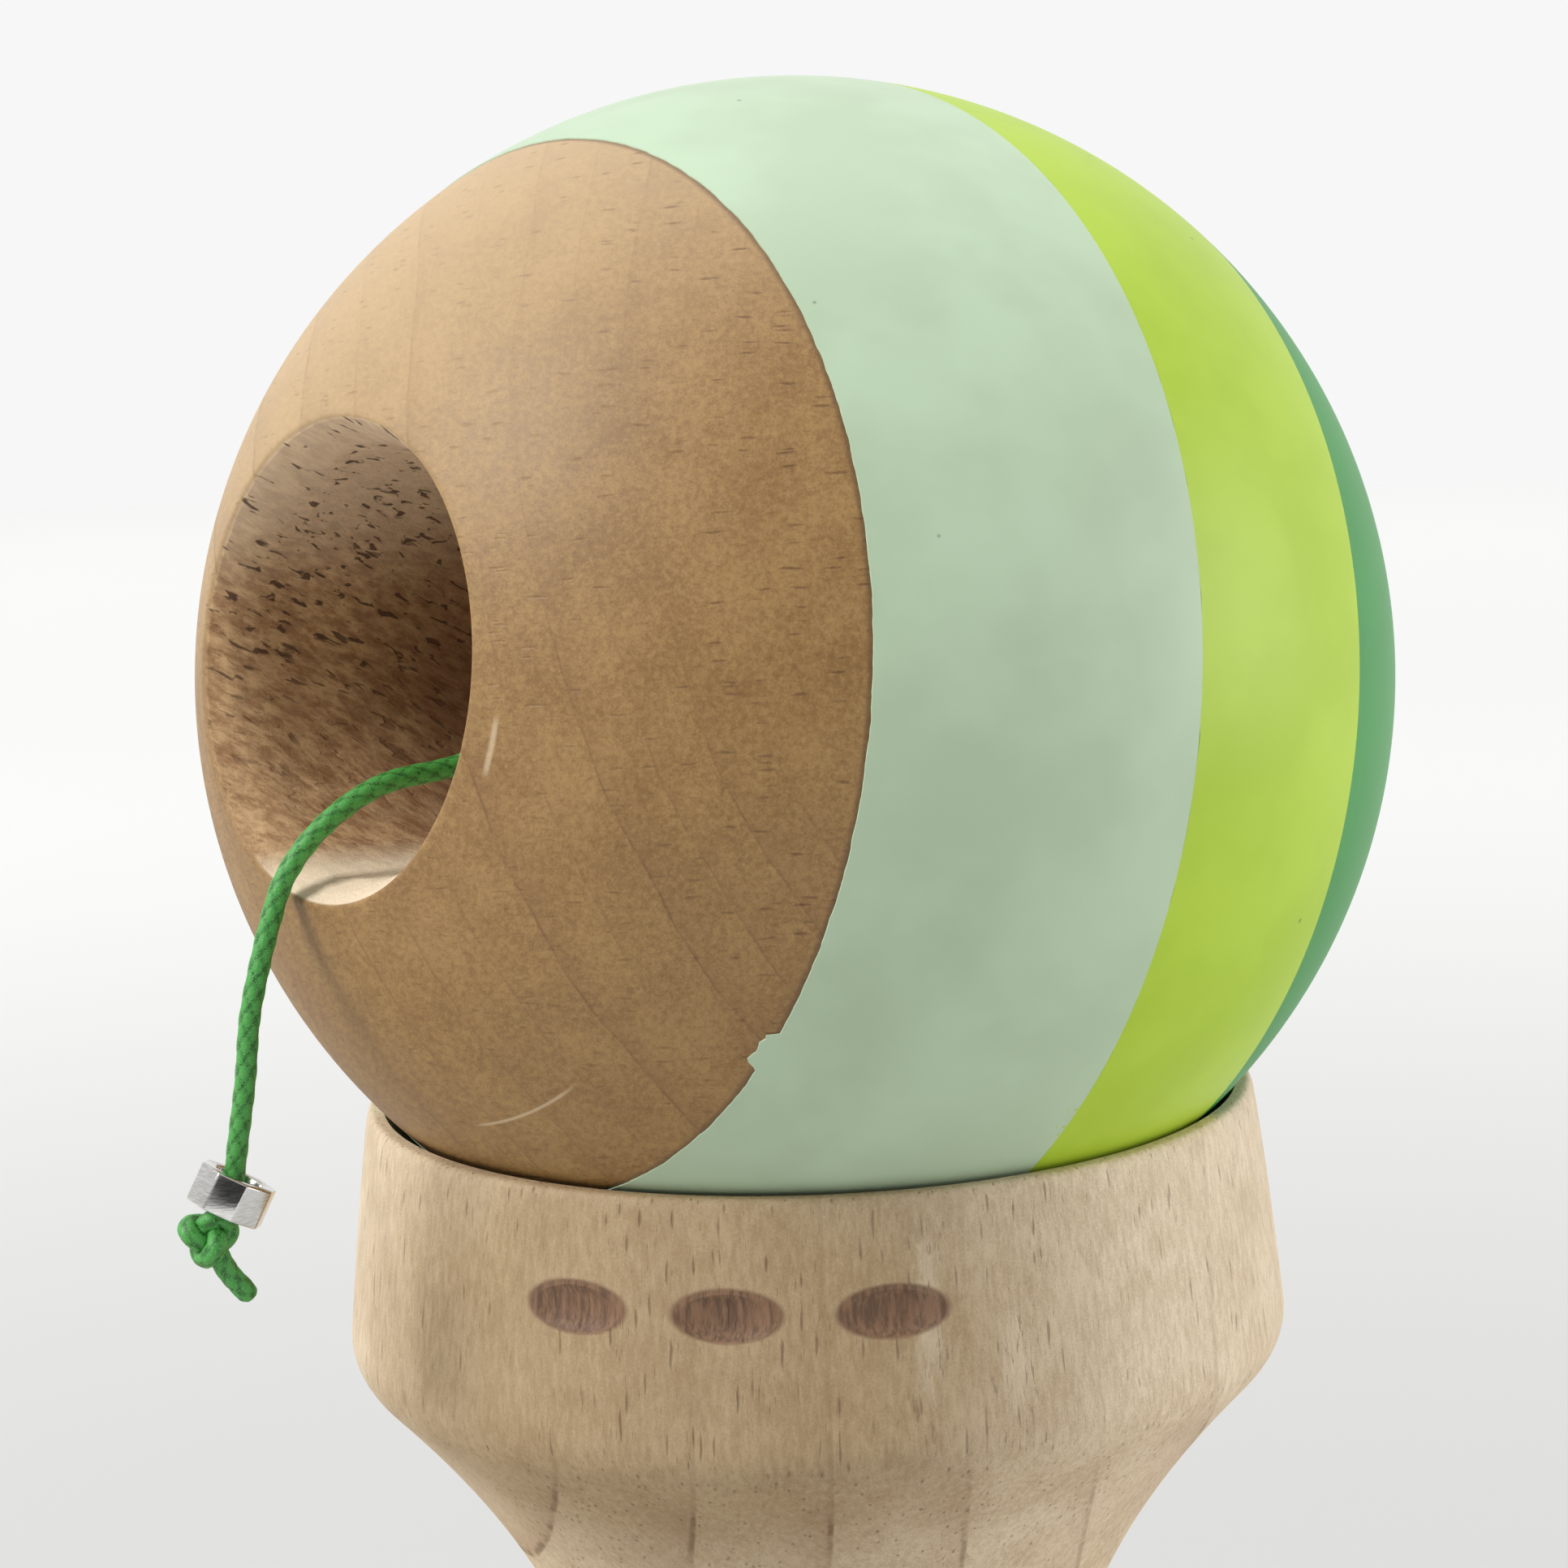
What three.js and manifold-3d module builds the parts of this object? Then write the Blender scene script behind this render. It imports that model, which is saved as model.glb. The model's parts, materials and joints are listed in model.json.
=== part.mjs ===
// Kendama, the ball-and-cup skill toy: a turned stick (ken) with a spike and a base cup, a crosspiece
// (sarado) with a big and a small cup, and a drilled ball (tama) on one waxed string.
// The toy stands on its small cup, the stick lies level, and the ball rests on the big cup.
// Millimetres, +Z up, +X towards the spike. The origin is on the table, under the middle of the stick.

import * as THREE from 'three';
import { mergeVertices } from 'three/addons/utils/BufferGeometryUtils.js';
import Module from 'manifold-3d';

const wasm = await Module();
wasm.setup();

// ---- driving dimensions ----
const GAP = 0.3; // clearance between touching pieces
const BALL_R = 30;
const SEAT_R = 21.7; // the circle on the big cup's lip that the ball sits on

const CROSS_HALF = 37.5; // from the stick's axis to either cup's lip
const NECK = 2.5; // half of the straight part of the crosspiece's waist
const BIG_CUP_R = 23.9;
const SMALL_CUP_R = 21.2;
const WAIST_R = 12.3;
const BIG_BOWL_DEPTH = 15;
const SMALL_BOWL_DEPTH = 13;
const LIP_W = 0.6; // flat top of a cup's lip
const LIP_INSET = BIG_CUP_R - SEAT_R; // from a cup's widest radius in to its lip's inner edge

const SPIKE_LEN = 57; // from the crosspiece's axis to the spike's tip
const HANDLE_LEN = 108; // from the crosspiece's axis to the base cup's lip
const BASE_CUP_R = 17.6;
const BASE_BOWL_DEPTH = 7.5;
const BASE_LIP_INSET = 1.6;
const SOCKET_R_HANDLE = 9.9; // the tapered hole through the crosspiece, at its handle side
const SOCKET_R_SPIKE = 9.3;
const SOCKET_HALF = 14;
const KNOT_POCKET_R = 2.6; // the pocket in the stick that holds the anchor knot
const KNOT_POCKET_Y = -4.6;

const HOLE_AZIMUTH = -133.45; // where the ball's big hole faces, degrees from +X
const HOLE_ELEVATION = 8.89;
const HOLE_R = 11.55; // the big hole at the ball's surface
const BORE_MOUTH_R = 10.3;
const BORE_END_R = 6.2;
const BORE_FLOOR_H = -14; // where the bore ends, along its axis from the ball's centre
const STRING_HOLE_R = 1.3;
const COAT_T = 0.5; // a paint coat's solid
const COAT_EDGES = [15.7, 0, -12.9]; // heights of the paint bands' edges along the bore's axis

const CORD_D = 1.05;
const CORD_SIDES = 8;
const COIL_MEAN_R = 5.9;
const COIL_TURNS = 4; // two layers of two
const TURN_PITCH = 1.1;
const COIL_CENTRE = [3.5, 36]; // from the crosspiece's axis

const BEAD_R = 1.95;
const BEAD_H = 1.9;
const BEAD_BORE_R = 1.2;

// flat sides round each turned piece
const CROSS_SEGMENTS = 40;
const KEN_SEGMENTS = 28;
const BALL_SEGMENTS = 40;

// ---- places that follow from them ----
const CROSS_X = (HANDLE_LEN - SPIKE_LEN) / 2;
const KEN_Z = CROSS_HALF;
const BALL_RISE = Math.sqrt(BALL_R ** 2 - SEAT_R ** 2) + GAP;
const BALL = new THREE.Vector3(CROSS_X, 0, 2 * CROSS_HALF + BALL_RISE);

const deg = THREE.MathUtils.degToRad;
const BORE_AXIS = new THREE.Vector3(
  Math.cos(deg(HOLE_ELEVATION)) * Math.cos(deg(HOLE_AZIMUTH)),
  Math.cos(deg(HOLE_ELEVATION)) * Math.sin(deg(HOLE_AZIMUTH)),
  Math.sin(deg(HOLE_ELEVATION)),
);

// ---- materials ----
const finish = (color, roughness, metalness = 0) =>
  new THREE.MeshStandardMaterial({ color, roughness, metalness });
const PALE_BEECH = finish(0xc4ab86, 0.6);
const BALL_BEECH = finish(0xb08c5f, 0.6);
const MINT = finish(0xb4ccb0, 0.45);
const LIME = finish(0xb5d159, 0.45);
const GREEN = finish(0x5aaa6e, 0.45);
const STRING = finish(0x4f9a4b, 0.7);
const STEEL = finish(0xc8c8c8, 0.2, 1);

// ---- helpers ----
const kendama = new THREE.Group();

function place(name, geometry, material, parent = kendama) {
  const mesh = new THREE.Mesh(geometry, material);
  mesh.name = name;
  parent.add(mesh);
  return mesh;
}

// A solid turned about Z from an outline of (radius, height) points that runs up its outside.
function turned(outline, segments) {
  return new THREE.LatheGeometry(outline, segments).rotateX(Math.PI / 2);
}

function toSolid(geometry) {
  const bare = geometry.clone();
  bare.deleteAttribute('normal');
  bare.deleteAttribute('uv');
  const merged = mergeVertices(bare, 1e-4);
  const vertProperties = new Float32Array(merged.attributes.position.array);
  const triVerts = new Uint32Array(merged.index.array);
  return new wasm.Manifold(new wasm.Mesh({ numProp: 3, vertProperties, triVerts }));
}

function toGeometry(solid) {
  const mesh = solid.getMesh();
  const geometry = new THREE.BufferGeometry();
  geometry.setAttribute('position', new THREE.BufferAttribute(mesh.vertProperties, 3));
  geometry.setIndex(new THREE.BufferAttribute(mesh.triVerts, 1));
  return geometry;
}

function cut(geometry, tools) {
  return toGeometry(tools.reduce((solid, tool) => solid.subtract(toSolid(tool)), toSolid(geometry)));
}

// Points of a circular arc, by the angle from the outline's radius axis.
function arc(radius, fromAngle, toAngle, steps, centreHeight = 0) {
  const points = [];
  for (let i = 0; i <= steps; i += 1) {
    const angle = fromAngle + ((toAngle - fromAngle) * i) / steps;
    points.push(new THREE.Vector2(radius * Math.cos(angle), centreHeight + radius * Math.sin(angle)));
  }
  return points;
}

// A round bowl sunk from a lip: from the lip's edge down to the bottom on the axis.
function bowl(edgeR, lipHeight, depth, steps) {
  const sphereR = (edgeR ** 2 + depth ** 2) / (2 * depth);
  const centre = lipHeight - depth + sphereR;
  const edgeAngle = Math.asin((lipHeight - centre) / sphereR);
  const points = arc(sphereR, edgeAngle, -Math.PI / 2, steps, centre);
  points[points.length - 1].x = 0;
  return points;
}

// ---- crosspiece ----
// One cup's outside, from the waist up to the lip.
function cupSide(cupR) {
  const side = new THREE.Path();
  side.moveTo(WAIST_R, NECK);
  side.bezierCurveTo(WAIST_R, NECK + 8, cupR - 6.4, NECK + 15.2, cupR - 1.1, NECK + 20.7);
  side.quadraticCurveTo(cupR, NECK + 21.9, cupR, NECK + 23.2);
  side.quadraticCurveTo(cupR - 0.6, NECK + 29.5, cupR - LIP_INSET + LIP_W + 0.3, CROSS_HALF - 0.7);
  side.lineTo(cupR - LIP_INSET + LIP_W, CROSS_HALF);
  side.lineTo(cupR - LIP_INSET, CROSS_HALF);
  return side.getPoints(5);
}

function crosspiece() {
  const flip = (point) => new THREE.Vector2(point.x, -point.y);
  const upper = cupSide(BIG_CUP_R);
  const lower = cupSide(SMALL_CUP_R).map(flip).reverse();
  const bigEdge = upper[upper.length - 1].x;
  const smallEdge = lower[0].x;
  const outline = [
    ...bowl(smallEdge, CROSS_HALF, SMALL_BOWL_DEPTH, 8).map(flip).reverse(),
    ...lower.slice(1),
    ...upper,
    ...bowl(bigEdge, CROSS_HALF, BIG_BOWL_DEPTH, 9).slice(1),
  ];
  const socket = new THREE.CylinderGeometry(SOCKET_R_HANDLE, SOCKET_R_SPIKE, 4 * SOCKET_HALF, 24)
    .rotateZ(Math.PI / 2);
  const stringHole = new THREE.CylinderGeometry(STRING_HOLE_R, STRING_HOLE_R, 2 * WAIST_R, 12)
    .translate(0, WAIST_R, 0);
  return cut(turned(outline, CROSS_SEGMENTS), [socket, stringHole]);
}

const sarado = place('sarado', crosspiece(), PALE_BEECH);
sarado.position.set(CROSS_X, 0, KEN_Z);

// ---- stick ----
// The outline is turned about the stick's axis, with the spike's tip at the top.
function stick() {
  const shape = new THREE.Path();
  const base = -HANDLE_LEN;
  const baseEdge = BASE_CUP_R - BASE_LIP_INSET;
  shape.moveTo(baseEdge, base);
  shape.lineTo(baseEdge + LIP_W, base);
  shape.quadraticCurveTo(BASE_CUP_R, base + 3.5, BASE_CUP_R, base + 7);
  shape.bezierCurveTo(BASE_CUP_R - 5, base + 11, 8.2, base + 14, 8.2, base + 22);
  shape.bezierCurveTo(8.2, base + 30, 10.2, base + 36, 10.2, base + 46);
  shape.bezierCurveTo(10.2, base + 58, 7.4, base + 66, 7.4, base + 76);
  shape.bezierCurveTo(7.4, base + 84, 10.4, base + 86, 10.4, -SOCKET_HALF - 2.5);
  shape.lineTo(SOCKET_R_HANDLE - GAP, -SOCKET_HALF - 0.5);
  shape.lineTo(SOCKET_R_SPIKE - GAP, SOCKET_HALF);
  shape.bezierCurveTo(8.2, 27, 5.4, 44, 3.2, SPIKE_LEN - 2.6);
  shape.quadraticCurveTo(2.4, SPIKE_LEN, 0, SPIKE_LEN);
  const inside = bowl(baseEdge, -base, BASE_BOWL_DEPTH, 6)
    .map((point) => new THREE.Vector2(point.x, -point.y))
    .reverse();
  const outline = [...inside, ...shape.getPoints(4).slice(1)];
  const stringHole = new THREE.CylinderGeometry(STRING_HOLE_R, STRING_HOLE_R, 30, 12);
  const knotPocket = new THREE.CylinderGeometry(KNOT_POCKET_R, KNOT_POCKET_R, 10, 16)
    .translate(0, KNOT_POCKET_Y - 5, 0);
  return cut(turned(outline, KEN_SEGMENTS).rotateY(Math.PI / 2), [stringHole, knotPocket]);
}

const ken = place('ken', stick(), PALE_BEECH);
ken.position.set(CROSS_X, 0, KEN_Z);

// ---- ball ----
// The ball's group has the bore's axis as its Z, with the big hole up.
const ball = new THREE.Group();
ball.position.copy(BALL);
ball.quaternion.setFromUnitVectors(new THREE.Vector3(0, 0, 1), BORE_AXIS);
kendama.add(ball);

const latitude = (height, radius = BALL_R) => Math.asin(height / radius);

function ballWood() {
  const innerR = BALL_R - COAT_T - GAP;
  const bareEdge = COAT_EDGES[0] + GAP;
  const holeHeight = Math.sqrt(BALL_R ** 2 - HOLE_R ** 2);
  const back = -Math.acos(STRING_HOLE_R / innerR);
  const outline = [
    ...arc(innerR, back, latitude(bareEdge, innerR), 11),
    ...arc(BALL_R, latitude(bareEdge), latitude(holeHeight), 4),
    new THREE.Vector2(BORE_MOUTH_R, holeHeight - 1.3),
    new THREE.Vector2(BORE_END_R, BORE_FLOOR_H),
    new THREE.Vector2(STRING_HOLE_R, BORE_FLOOR_H - 3),
  ];
  outline.push(outline[0].clone());
  return turned(outline, BALL_SEGMENTS);
}

function paintCoat(upper, lower, steps) {
  const innerR = BALL_R - COAT_T;
  const outside = arc(BALL_R, lower.outer, upper.outer, steps);
  const inside = arc(innerR, upper.inner, lower.inner, steps);
  return turned([...outside, ...inside, outside[0].clone()], BALL_SEGMENTS);
}

const coatEdge = (height) => ({ outer: latitude(height), inner: latitude(height, BALL_R - COAT_T) });
const backEdge = {
  outer: -Math.acos(STRING_HOLE_R / BALL_R),
  inner: -Math.acos(STRING_HOLE_R / (BALL_R - COAT_T)),
};
place('tama_wood', ballWood(), BALL_BEECH, ball);
place('coat_mint', paintCoat(coatEdge(COAT_EDGES[0]), coatEdge(COAT_EDGES[1] + GAP), 4), MINT, ball);
place('coat_lime', paintCoat(coatEdge(COAT_EDGES[1]), coatEdge(COAT_EDGES[2] + GAP), 4), LIME, ball);
place('coat_green', paintCoat(coatEdge(COAT_EDGES[2]), backEdge, 8), GREEN, ball);

// ---- string ----
const at = (x, y, z) => new THREE.Vector3(x, y, z);
const fromBall = (x, y, z) => at(x, y, z).add(BALL);
const fromCross = (x, y, z) => at(x + CROSS_X, y, z);
const onBore = (height) => BORE_AXIS.clone().multiplyScalar(height).add(BALL);

function cordTube(points, steps) {
  const section = new THREE.Shape();
  for (let i = 0; i < CORD_SIDES; i += 1) {
    const angle = (2 * Math.PI * i) / CORD_SIDES;
    const [x, y] = [Math.cos(angle), Math.sin(angle)].map((part) => (part * CORD_D) / 2);
    if (i === 0) section.moveTo(x, y);
    else section.lineTo(x, y);
  }
  section.closePath();
  const extrudePath = new THREE.CatmullRomCurve3(points);
  return new THREE.ExtrudeGeometry(section, { steps, extrudePath, bevelEnabled: false });
}

// Through the ball, out of the big hole, over its lip and down through the bead to the end knot.
const TAIL_ROUTE = [
  onBore(-30.3),
  onBore(-24),
  onBore(-17),
  onBore(-8),
  onBore(3),
  fromBall(-7.9, -8.2, 0.9),
  fromBall(-11.4, -11.6, -1.0),
  fromBall(-14.5, -14.3, -1.8),
  fromBall(-17.2, -17.0, -2.1),
  fromBall(-18.9, -18.5, -3.0),
  fromBall(-20.4, -19.7, -4.4),
  fromBall(-21.5, -20.5, -6.1),
  fromBall(-22.1, -21.1, -8),
  fromBall(-22.6, -21.6, -10),
  fromBall(-23.1, -22.0, -12.4),
  fromBall(-23.4, -22.3, -15.3),
  fromBall(-23.8, -22.6, -18),
  fromBall(-24.2, -23.0, -20.7),
  fromBall(-24.4, -23.2, -21.4),
];
place('string_tail', cordTube(TAIL_ROUTE, 40), STRING);

// Behind the ball and down to the table.
const RUN_ROUTE = [
  onBore(-30.7),
  onBore(-32),
  fromBall(22.4, 25.2, -6.6),
  fromBall(22.0, 25.5, -9.5),
  fromBall(21.0, 25.9, -16),
  fromBall(19.2, 26.3, -24),
  fromBall(17.0, 27.0, -32),
  fromBall(14.4, 27.9, -41),
  fromBall(12.2, 28.8, -50),
  fromBall(10.6, 29.6, -60),
  fromBall(9.8, 30.2, -70),
  fromBall(9.6, 30.6, -80),
  fromBall(9.7, 30.8, -86),
  fromBall(9.9, 31.0, -91),
  fromCross(10.5, 31.6, 1.6),
];
place('string_run', cordTube(RUN_ROUTE, 44), STRING);

const coilOuterR = COIL_MEAN_R + TURN_PITCH + CORD_D / 2;
const coilInnerR = COIL_MEAN_R - TURN_PITCH - CORD_D / 2;
const coilHeight = (COIL_TURNS / 2) * TURN_PITCH;

function coilRing() {
  const bevel = 0.35;
  const ring = [
    [coilInnerR + bevel, 0], [coilOuterR - bevel, 0], [coilOuterR, bevel],
    [coilOuterR, coilHeight - bevel], [coilOuterR - bevel, coilHeight],
    [coilInnerR + bevel, coilHeight], [coilInnerR, coilHeight - bevel],
    [coilInnerR, bevel], [coilInnerR + bevel, 0],
  ];
  return turned(ring.map(([x, y]) => new THREE.Vector2(x, y)), 28);
}

const coil = place('string_coil', coilRing(), STRING);
coil.position.copy(fromCross(...COIL_CENTRE, 0));

// From the table up the back of the small cup and into the crosspiece's string hole.
const LEAD_ROUTE = [
  fromCross(-0.6, 28.6, 0.8),
  fromCross(-1.4, 26.6, 0.7),
  fromCross(-1.6, 24.6, 1.2),
  fromCross(-1.3, 23.2, 3.2),
  fromCross(-1.0, 22.6, 6.5),
  fromCross(-0.8, 22.4, 10),
  fromCross(-0.6, 21.9, 13.4),
  fromCross(-0.5, 19.9, 16.8),
  fromCross(-0.4, 17.8, 20.2),
  fromCross(-0.3, 16.2, 24),
  fromCross(-0.2, 15.5, 28),
  fromCross(-0.1, 15.2, 32.5),
  fromCross(0, 14.8, 35.8),
  fromCross(0, 13.0, KEN_Z),
  fromCross(0, 9, KEN_Z),
  fromCross(0, 3, KEN_Z),
  fromCross(0, -4, KEN_Z),
];
place('string_lead', cordTube(LEAD_ROUTE, 34), STRING);

// ---- knots and bead ----
function knot(halfLength, radius) {
  return new THREE.SphereGeometry(1, 14, 10).scale(halfLength, radius, radius);
}

const anchorKnot = place('anchor_knot', knot(1.5, 1.9), STRING);
anchorKnot.position.copy(fromCross(0, -6, KEN_Z));
anchorKnot.rotation.z = Math.PI / 2;

const BEAD_PLACE = fromBall(-24.2, -23.0, -20.7);
const BEAD_AXIS = at(0.4175, 0.066, 0.906).normalize();

function octagonBead() {
  const half = BEAD_H / 2;
  const bevel = 0.25;
  const outside = turned([
    [0, -half], [BEAD_R - bevel, -half], [BEAD_R, bevel - half],
    [BEAD_R, half - bevel], [BEAD_R - bevel, half], [0, half],
  ].map(([x, y]) => new THREE.Vector2(x, y)), 8);
  const bore = new THREE.CylinderGeometry(BEAD_BORE_R, BEAD_BORE_R, 2 * BEAD_H, 16).rotateX(Math.PI / 2);
  return cut(outside, [bore]);
}

const bead = place('bead', octagonBead(), STEEL);
bead.position.copy(BEAD_PLACE);
bead.quaternion.setFromUnitVectors(at(0, 0, 1), BEAD_AXIS);

const endKnot = place('end_knot', knot(1.6, 1.0), STRING);
endKnot.position.copy(BEAD_PLACE).add(at(-1.15, -0.35, -1.95));
endKnot.rotation.y = deg(-8);

place('string_end', cordTube([
  fromBall(-24.75, -23.3, -24.25),
  fromBall(-24.4, -23.05, -24.7),
  fromBall(-24.0, -22.8, -25.3),
  fromBall(-23.55, -22.5, -26),
], 3), STRING);

export default kendama;
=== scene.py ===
# %% [markdown]
# # A kendama, from turned wood to braided string
#
# A kendama is a ball-and-cup toy: a stick, a crosspiece with a cup at each end, and a drilled ball on a
# string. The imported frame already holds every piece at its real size. This lesson gives each piece its
# fine surface and its finish. All lengths below are in metres unless a name says otherwise.

# %% Load the frame
import json
import math

import bpy
from mathutils import Matrix, Vector, noise


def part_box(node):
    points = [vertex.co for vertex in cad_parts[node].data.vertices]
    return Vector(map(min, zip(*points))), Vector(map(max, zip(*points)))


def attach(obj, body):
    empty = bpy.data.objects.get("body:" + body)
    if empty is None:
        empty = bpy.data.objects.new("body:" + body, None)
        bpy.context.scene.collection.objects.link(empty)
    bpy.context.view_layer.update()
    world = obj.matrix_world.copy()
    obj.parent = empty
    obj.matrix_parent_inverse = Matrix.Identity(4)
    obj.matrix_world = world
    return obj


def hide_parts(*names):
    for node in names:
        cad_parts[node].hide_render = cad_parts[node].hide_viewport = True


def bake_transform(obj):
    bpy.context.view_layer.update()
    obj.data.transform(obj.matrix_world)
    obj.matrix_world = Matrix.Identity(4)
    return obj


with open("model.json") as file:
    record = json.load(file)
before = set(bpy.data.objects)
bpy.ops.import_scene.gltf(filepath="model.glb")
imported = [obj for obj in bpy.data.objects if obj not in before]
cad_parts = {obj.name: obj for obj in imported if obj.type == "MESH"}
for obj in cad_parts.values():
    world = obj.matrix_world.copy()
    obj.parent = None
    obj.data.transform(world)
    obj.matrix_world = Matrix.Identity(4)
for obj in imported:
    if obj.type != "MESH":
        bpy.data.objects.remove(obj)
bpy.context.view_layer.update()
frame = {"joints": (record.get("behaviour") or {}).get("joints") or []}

MM = 0.001

# %% [markdown]
# ## Key places
#
# Everything is placed from the frame. The crosspiece's box gives its axis and both lips, and the joint
# that spins the ball gives the ball's centre and the way its big hole faces.

# %% Key places
cross_low, cross_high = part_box("sarado")
CROSS_X = (cross_low.x + cross_high.x) / 2
CROSS_HALF = (cross_high.z - cross_low.z) / 2
KEN_Z = CROSS_HALF / MM
SPIN = next(joint for joint in frame["joints"] if joint["name"] == "tama_spin")
BALL = Vector(SPIN["pos_m"])
BORE_AXIS = Vector(SPIN["axis"]).normalized()
BORE_SIDE = Vector((-BORE_AXIS.y, BORE_AXIS.x, 0)).normalized()
CORD_D = 1.05 * MM
print("ball centre:", tuple(round(v, 4) for v in BALL), "big hole faces", tuple(BORE_AXIS))


def from_ball(x, y, z):
    """A point given in millimetres from the ball's centre."""
    return BALL + Vector((x, y, z)) * MM


def from_cross(x, y, z):
    """A point given in millimetres from the foot of the crosspiece's axis."""
    return Vector((CROSS_X, 0, 0)) + Vector((x, y, z)) * MM


def on_bore(height):
    """A point on the bore's axis, in millimetres from the ball's centre."""
    return BALL + BORE_AXIS * height * MM


# %% [markdown]
# ## Camera
#
# The view looks slightly down on the big cup from close by, with a long lens, a little turned so that
# the stick's spike side comes nearer. A small roll tips the cup's lip a little, as it is seen.

# %% Camera
CAMERA_TURN = 9.0
CAMERA_FROM_BALL = (38.39, -242.35, 39.19)
CAMERA_YAW = CAMERA_TURN + 0.17
CAMERA_PITCH = -10.3
CAMERA_ROLL = -2.13
SENSOR = 36.0
LENS = 113.4

camera_data = bpy.data.cameras.new("camera")
camera = bpy.data.objects.new("camera", camera_data)
bpy.context.scene.collection.objects.link(camera)
camera.location = from_ball(*CAMERA_FROM_BALL)
turn_z = Matrix.Rotation(math.radians(CAMERA_YAW), 4, "Z")
tilt_x = Matrix.Rotation(math.radians(90 + CAMERA_PITCH), 4, "X")
roll_z = Matrix.Rotation(math.radians(CAMERA_ROLL), 4, "Z")
camera.rotation_euler = (turn_z @ tilt_x @ roll_z).to_euler()
camera_data.sensor_width = SENSOR
camera_data.lens = LENS
camera_data.clip_start = 0.01
camera_data.clip_end = 20
bpy.context.scene.camera = camera
print("camera", round((camera.location - BALL).length / MM), "mm from the ball's centre")

# %% [markdown]
# ## The string's route
#
# One waxed string, about a millimetre thick, ties the ball to the stick. It is knotted inside the stick,
# comes out of the crosspiece's back, lies down the small cup to the table, and its spare length is wound
# in a small coil there. Then it climbs behind the ball, passes through it, and hangs out of the big
# hole. The route is a list of points set one by one, as a person lays a string, and a smooth curve
# through them. Only the coil is a formula.


# %% Smooth line through points
def smooth_line(points, spacing):
    """A centripetal Catmull-Rom curve through points, resampled at an even spacing."""
    ends = [points[0] * 2 - points[1], *points, points[-1] * 2 - points[-2]]
    dense = []
    for p0, p1, p2, p3 in zip(ends, ends[1:], ends[2:], ends[3:]):
        t1 = max((p1 - p0).length, 1e-9) ** 0.5
        t2 = t1 + max((p2 - p1).length, 1e-9) ** 0.5
        t3 = t2 + max((p3 - p2).length, 1e-9) ** 0.5
        for i in range(16):
            t = t1 + (t2 - t1) * i / 16
            a1 = p0 * ((t1 - t) / t1) + p1 * (t / t1)
            a2 = p1 * ((t2 - t) / (t2 - t1)) + p2 * ((t - t1) / (t2 - t1))
            a3 = p2 * ((t3 - t) / (t3 - t2)) + p3 * ((t - t2) / (t3 - t2))
            b1 = a1 * ((t2 - t) / t2) + a2 * (t / t2)
            b2 = a2 * ((t3 - t) / (t3 - t1)) + a3 * ((t - t1) / (t3 - t1))
            dense.append(b1 * ((t2 - t) / (t2 - t1)) + b2 * ((t - t1) / (t2 - t1)))
    dense.append(points[-1].copy())
    line, left = [dense[0]], spacing
    for start, end in zip(dense, dense[1:]):
        step = (end - start).length
        while step >= left and step > 0:
            start = start.lerp(end, left / step)
            line.append(start)
            step = (end - start).length
            left = spacing
        left -= step
    return line


def line_length(line):
    return sum((b - a).length for a, b in zip(line, line[1:]))


# %% String routes
LINE_SPACING = 0.12 * MM

TAIL_ROUTE = [
    on_bore(-30.3), on_bore(-24), on_bore(-17), on_bore(-8), on_bore(3),
    from_ball(-7.9, -8.2, 0.9), from_ball(-11.4, -11.6, -1.0), from_ball(-14.5, -14.3, -1.8),
    from_ball(-17.2, -17.0, -2.1), from_ball(-18.9, -18.5, -3.0),
    from_ball(-20.4, -19.7, -4.4), from_ball(-21.5, -20.5, -6.1),
    from_ball(-22.1, -21.1, -8), from_ball(-22.6, -21.6, -10), from_ball(-23.1, -22.0, -12.4),
    from_ball(-23.4, -22.3, -15.3), from_ball(-23.8, -22.6, -18),
    from_ball(-24.2, -23.0, -20.7), from_ball(-24.5, -23.2, -21.6),
]
LEAD_ROUTE = [
    from_cross(0, -4, KEN_Z), from_cross(0, 3, KEN_Z), from_cross(0, 9, KEN_Z),
    from_cross(0, 13, KEN_Z), from_cross(0, 14.8, KEN_Z - 1.7), from_cross(-0.1, 15.2, 32.5),
    from_cross(-0.2, 15.5, 28),
    from_cross(-0.3, 16.2, 24), from_cross(-0.4, 17.8, 20.2), from_cross(-0.5, 19.9, 16.8),
    from_cross(-0.6, 21.9, 13.4), from_cross(-0.8, 22.4, 10), from_cross(-1.0, 22.6, 6.5),
    from_cross(-1.3, 23.2, 3.2), from_cross(-1.6, 24.6, 1.2), from_cross(-1.4, 26.6, 0.7),
    from_cross(-0.9, 28.6, 0.7),
]
RUN_ROUTE = [
    from_cross(10.5, 33.8, 1.68), from_cross(10.5, 31.9, 1.75),
    from_cross(9.95, 31.05, 3.4), from_cross(9.7, 30.85, 6.5),
    from_cross(9.6, 30.6, 12), from_ball(9.8, 30.2, -70),
    from_ball(10.6, 29.6, -60), from_ball(12.2, 28.8, -50), from_ball(14.4, 27.9, -41),
    from_ball(17.0, 27.0, -32), from_ball(19.2, 26.3, -24), from_ball(21.0, 25.9, -16),
    from_ball(22.0, 25.5, -9.5), from_ball(22.4, 25.2, -6.6), on_bore(-32), on_bore(-30.3),
]
COIL_CENTRE = from_cross(3.5, 36, 0)
COIL_OUTER_R = 7.0 * MM
COIL_INNER_R = 4.8 * MM
COIL_TURNS = 3.59
COIL_START = math.radians(212)
COIL_LOW = 0.55 * MM
COIL_HIGH = 1.65 * MM


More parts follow.
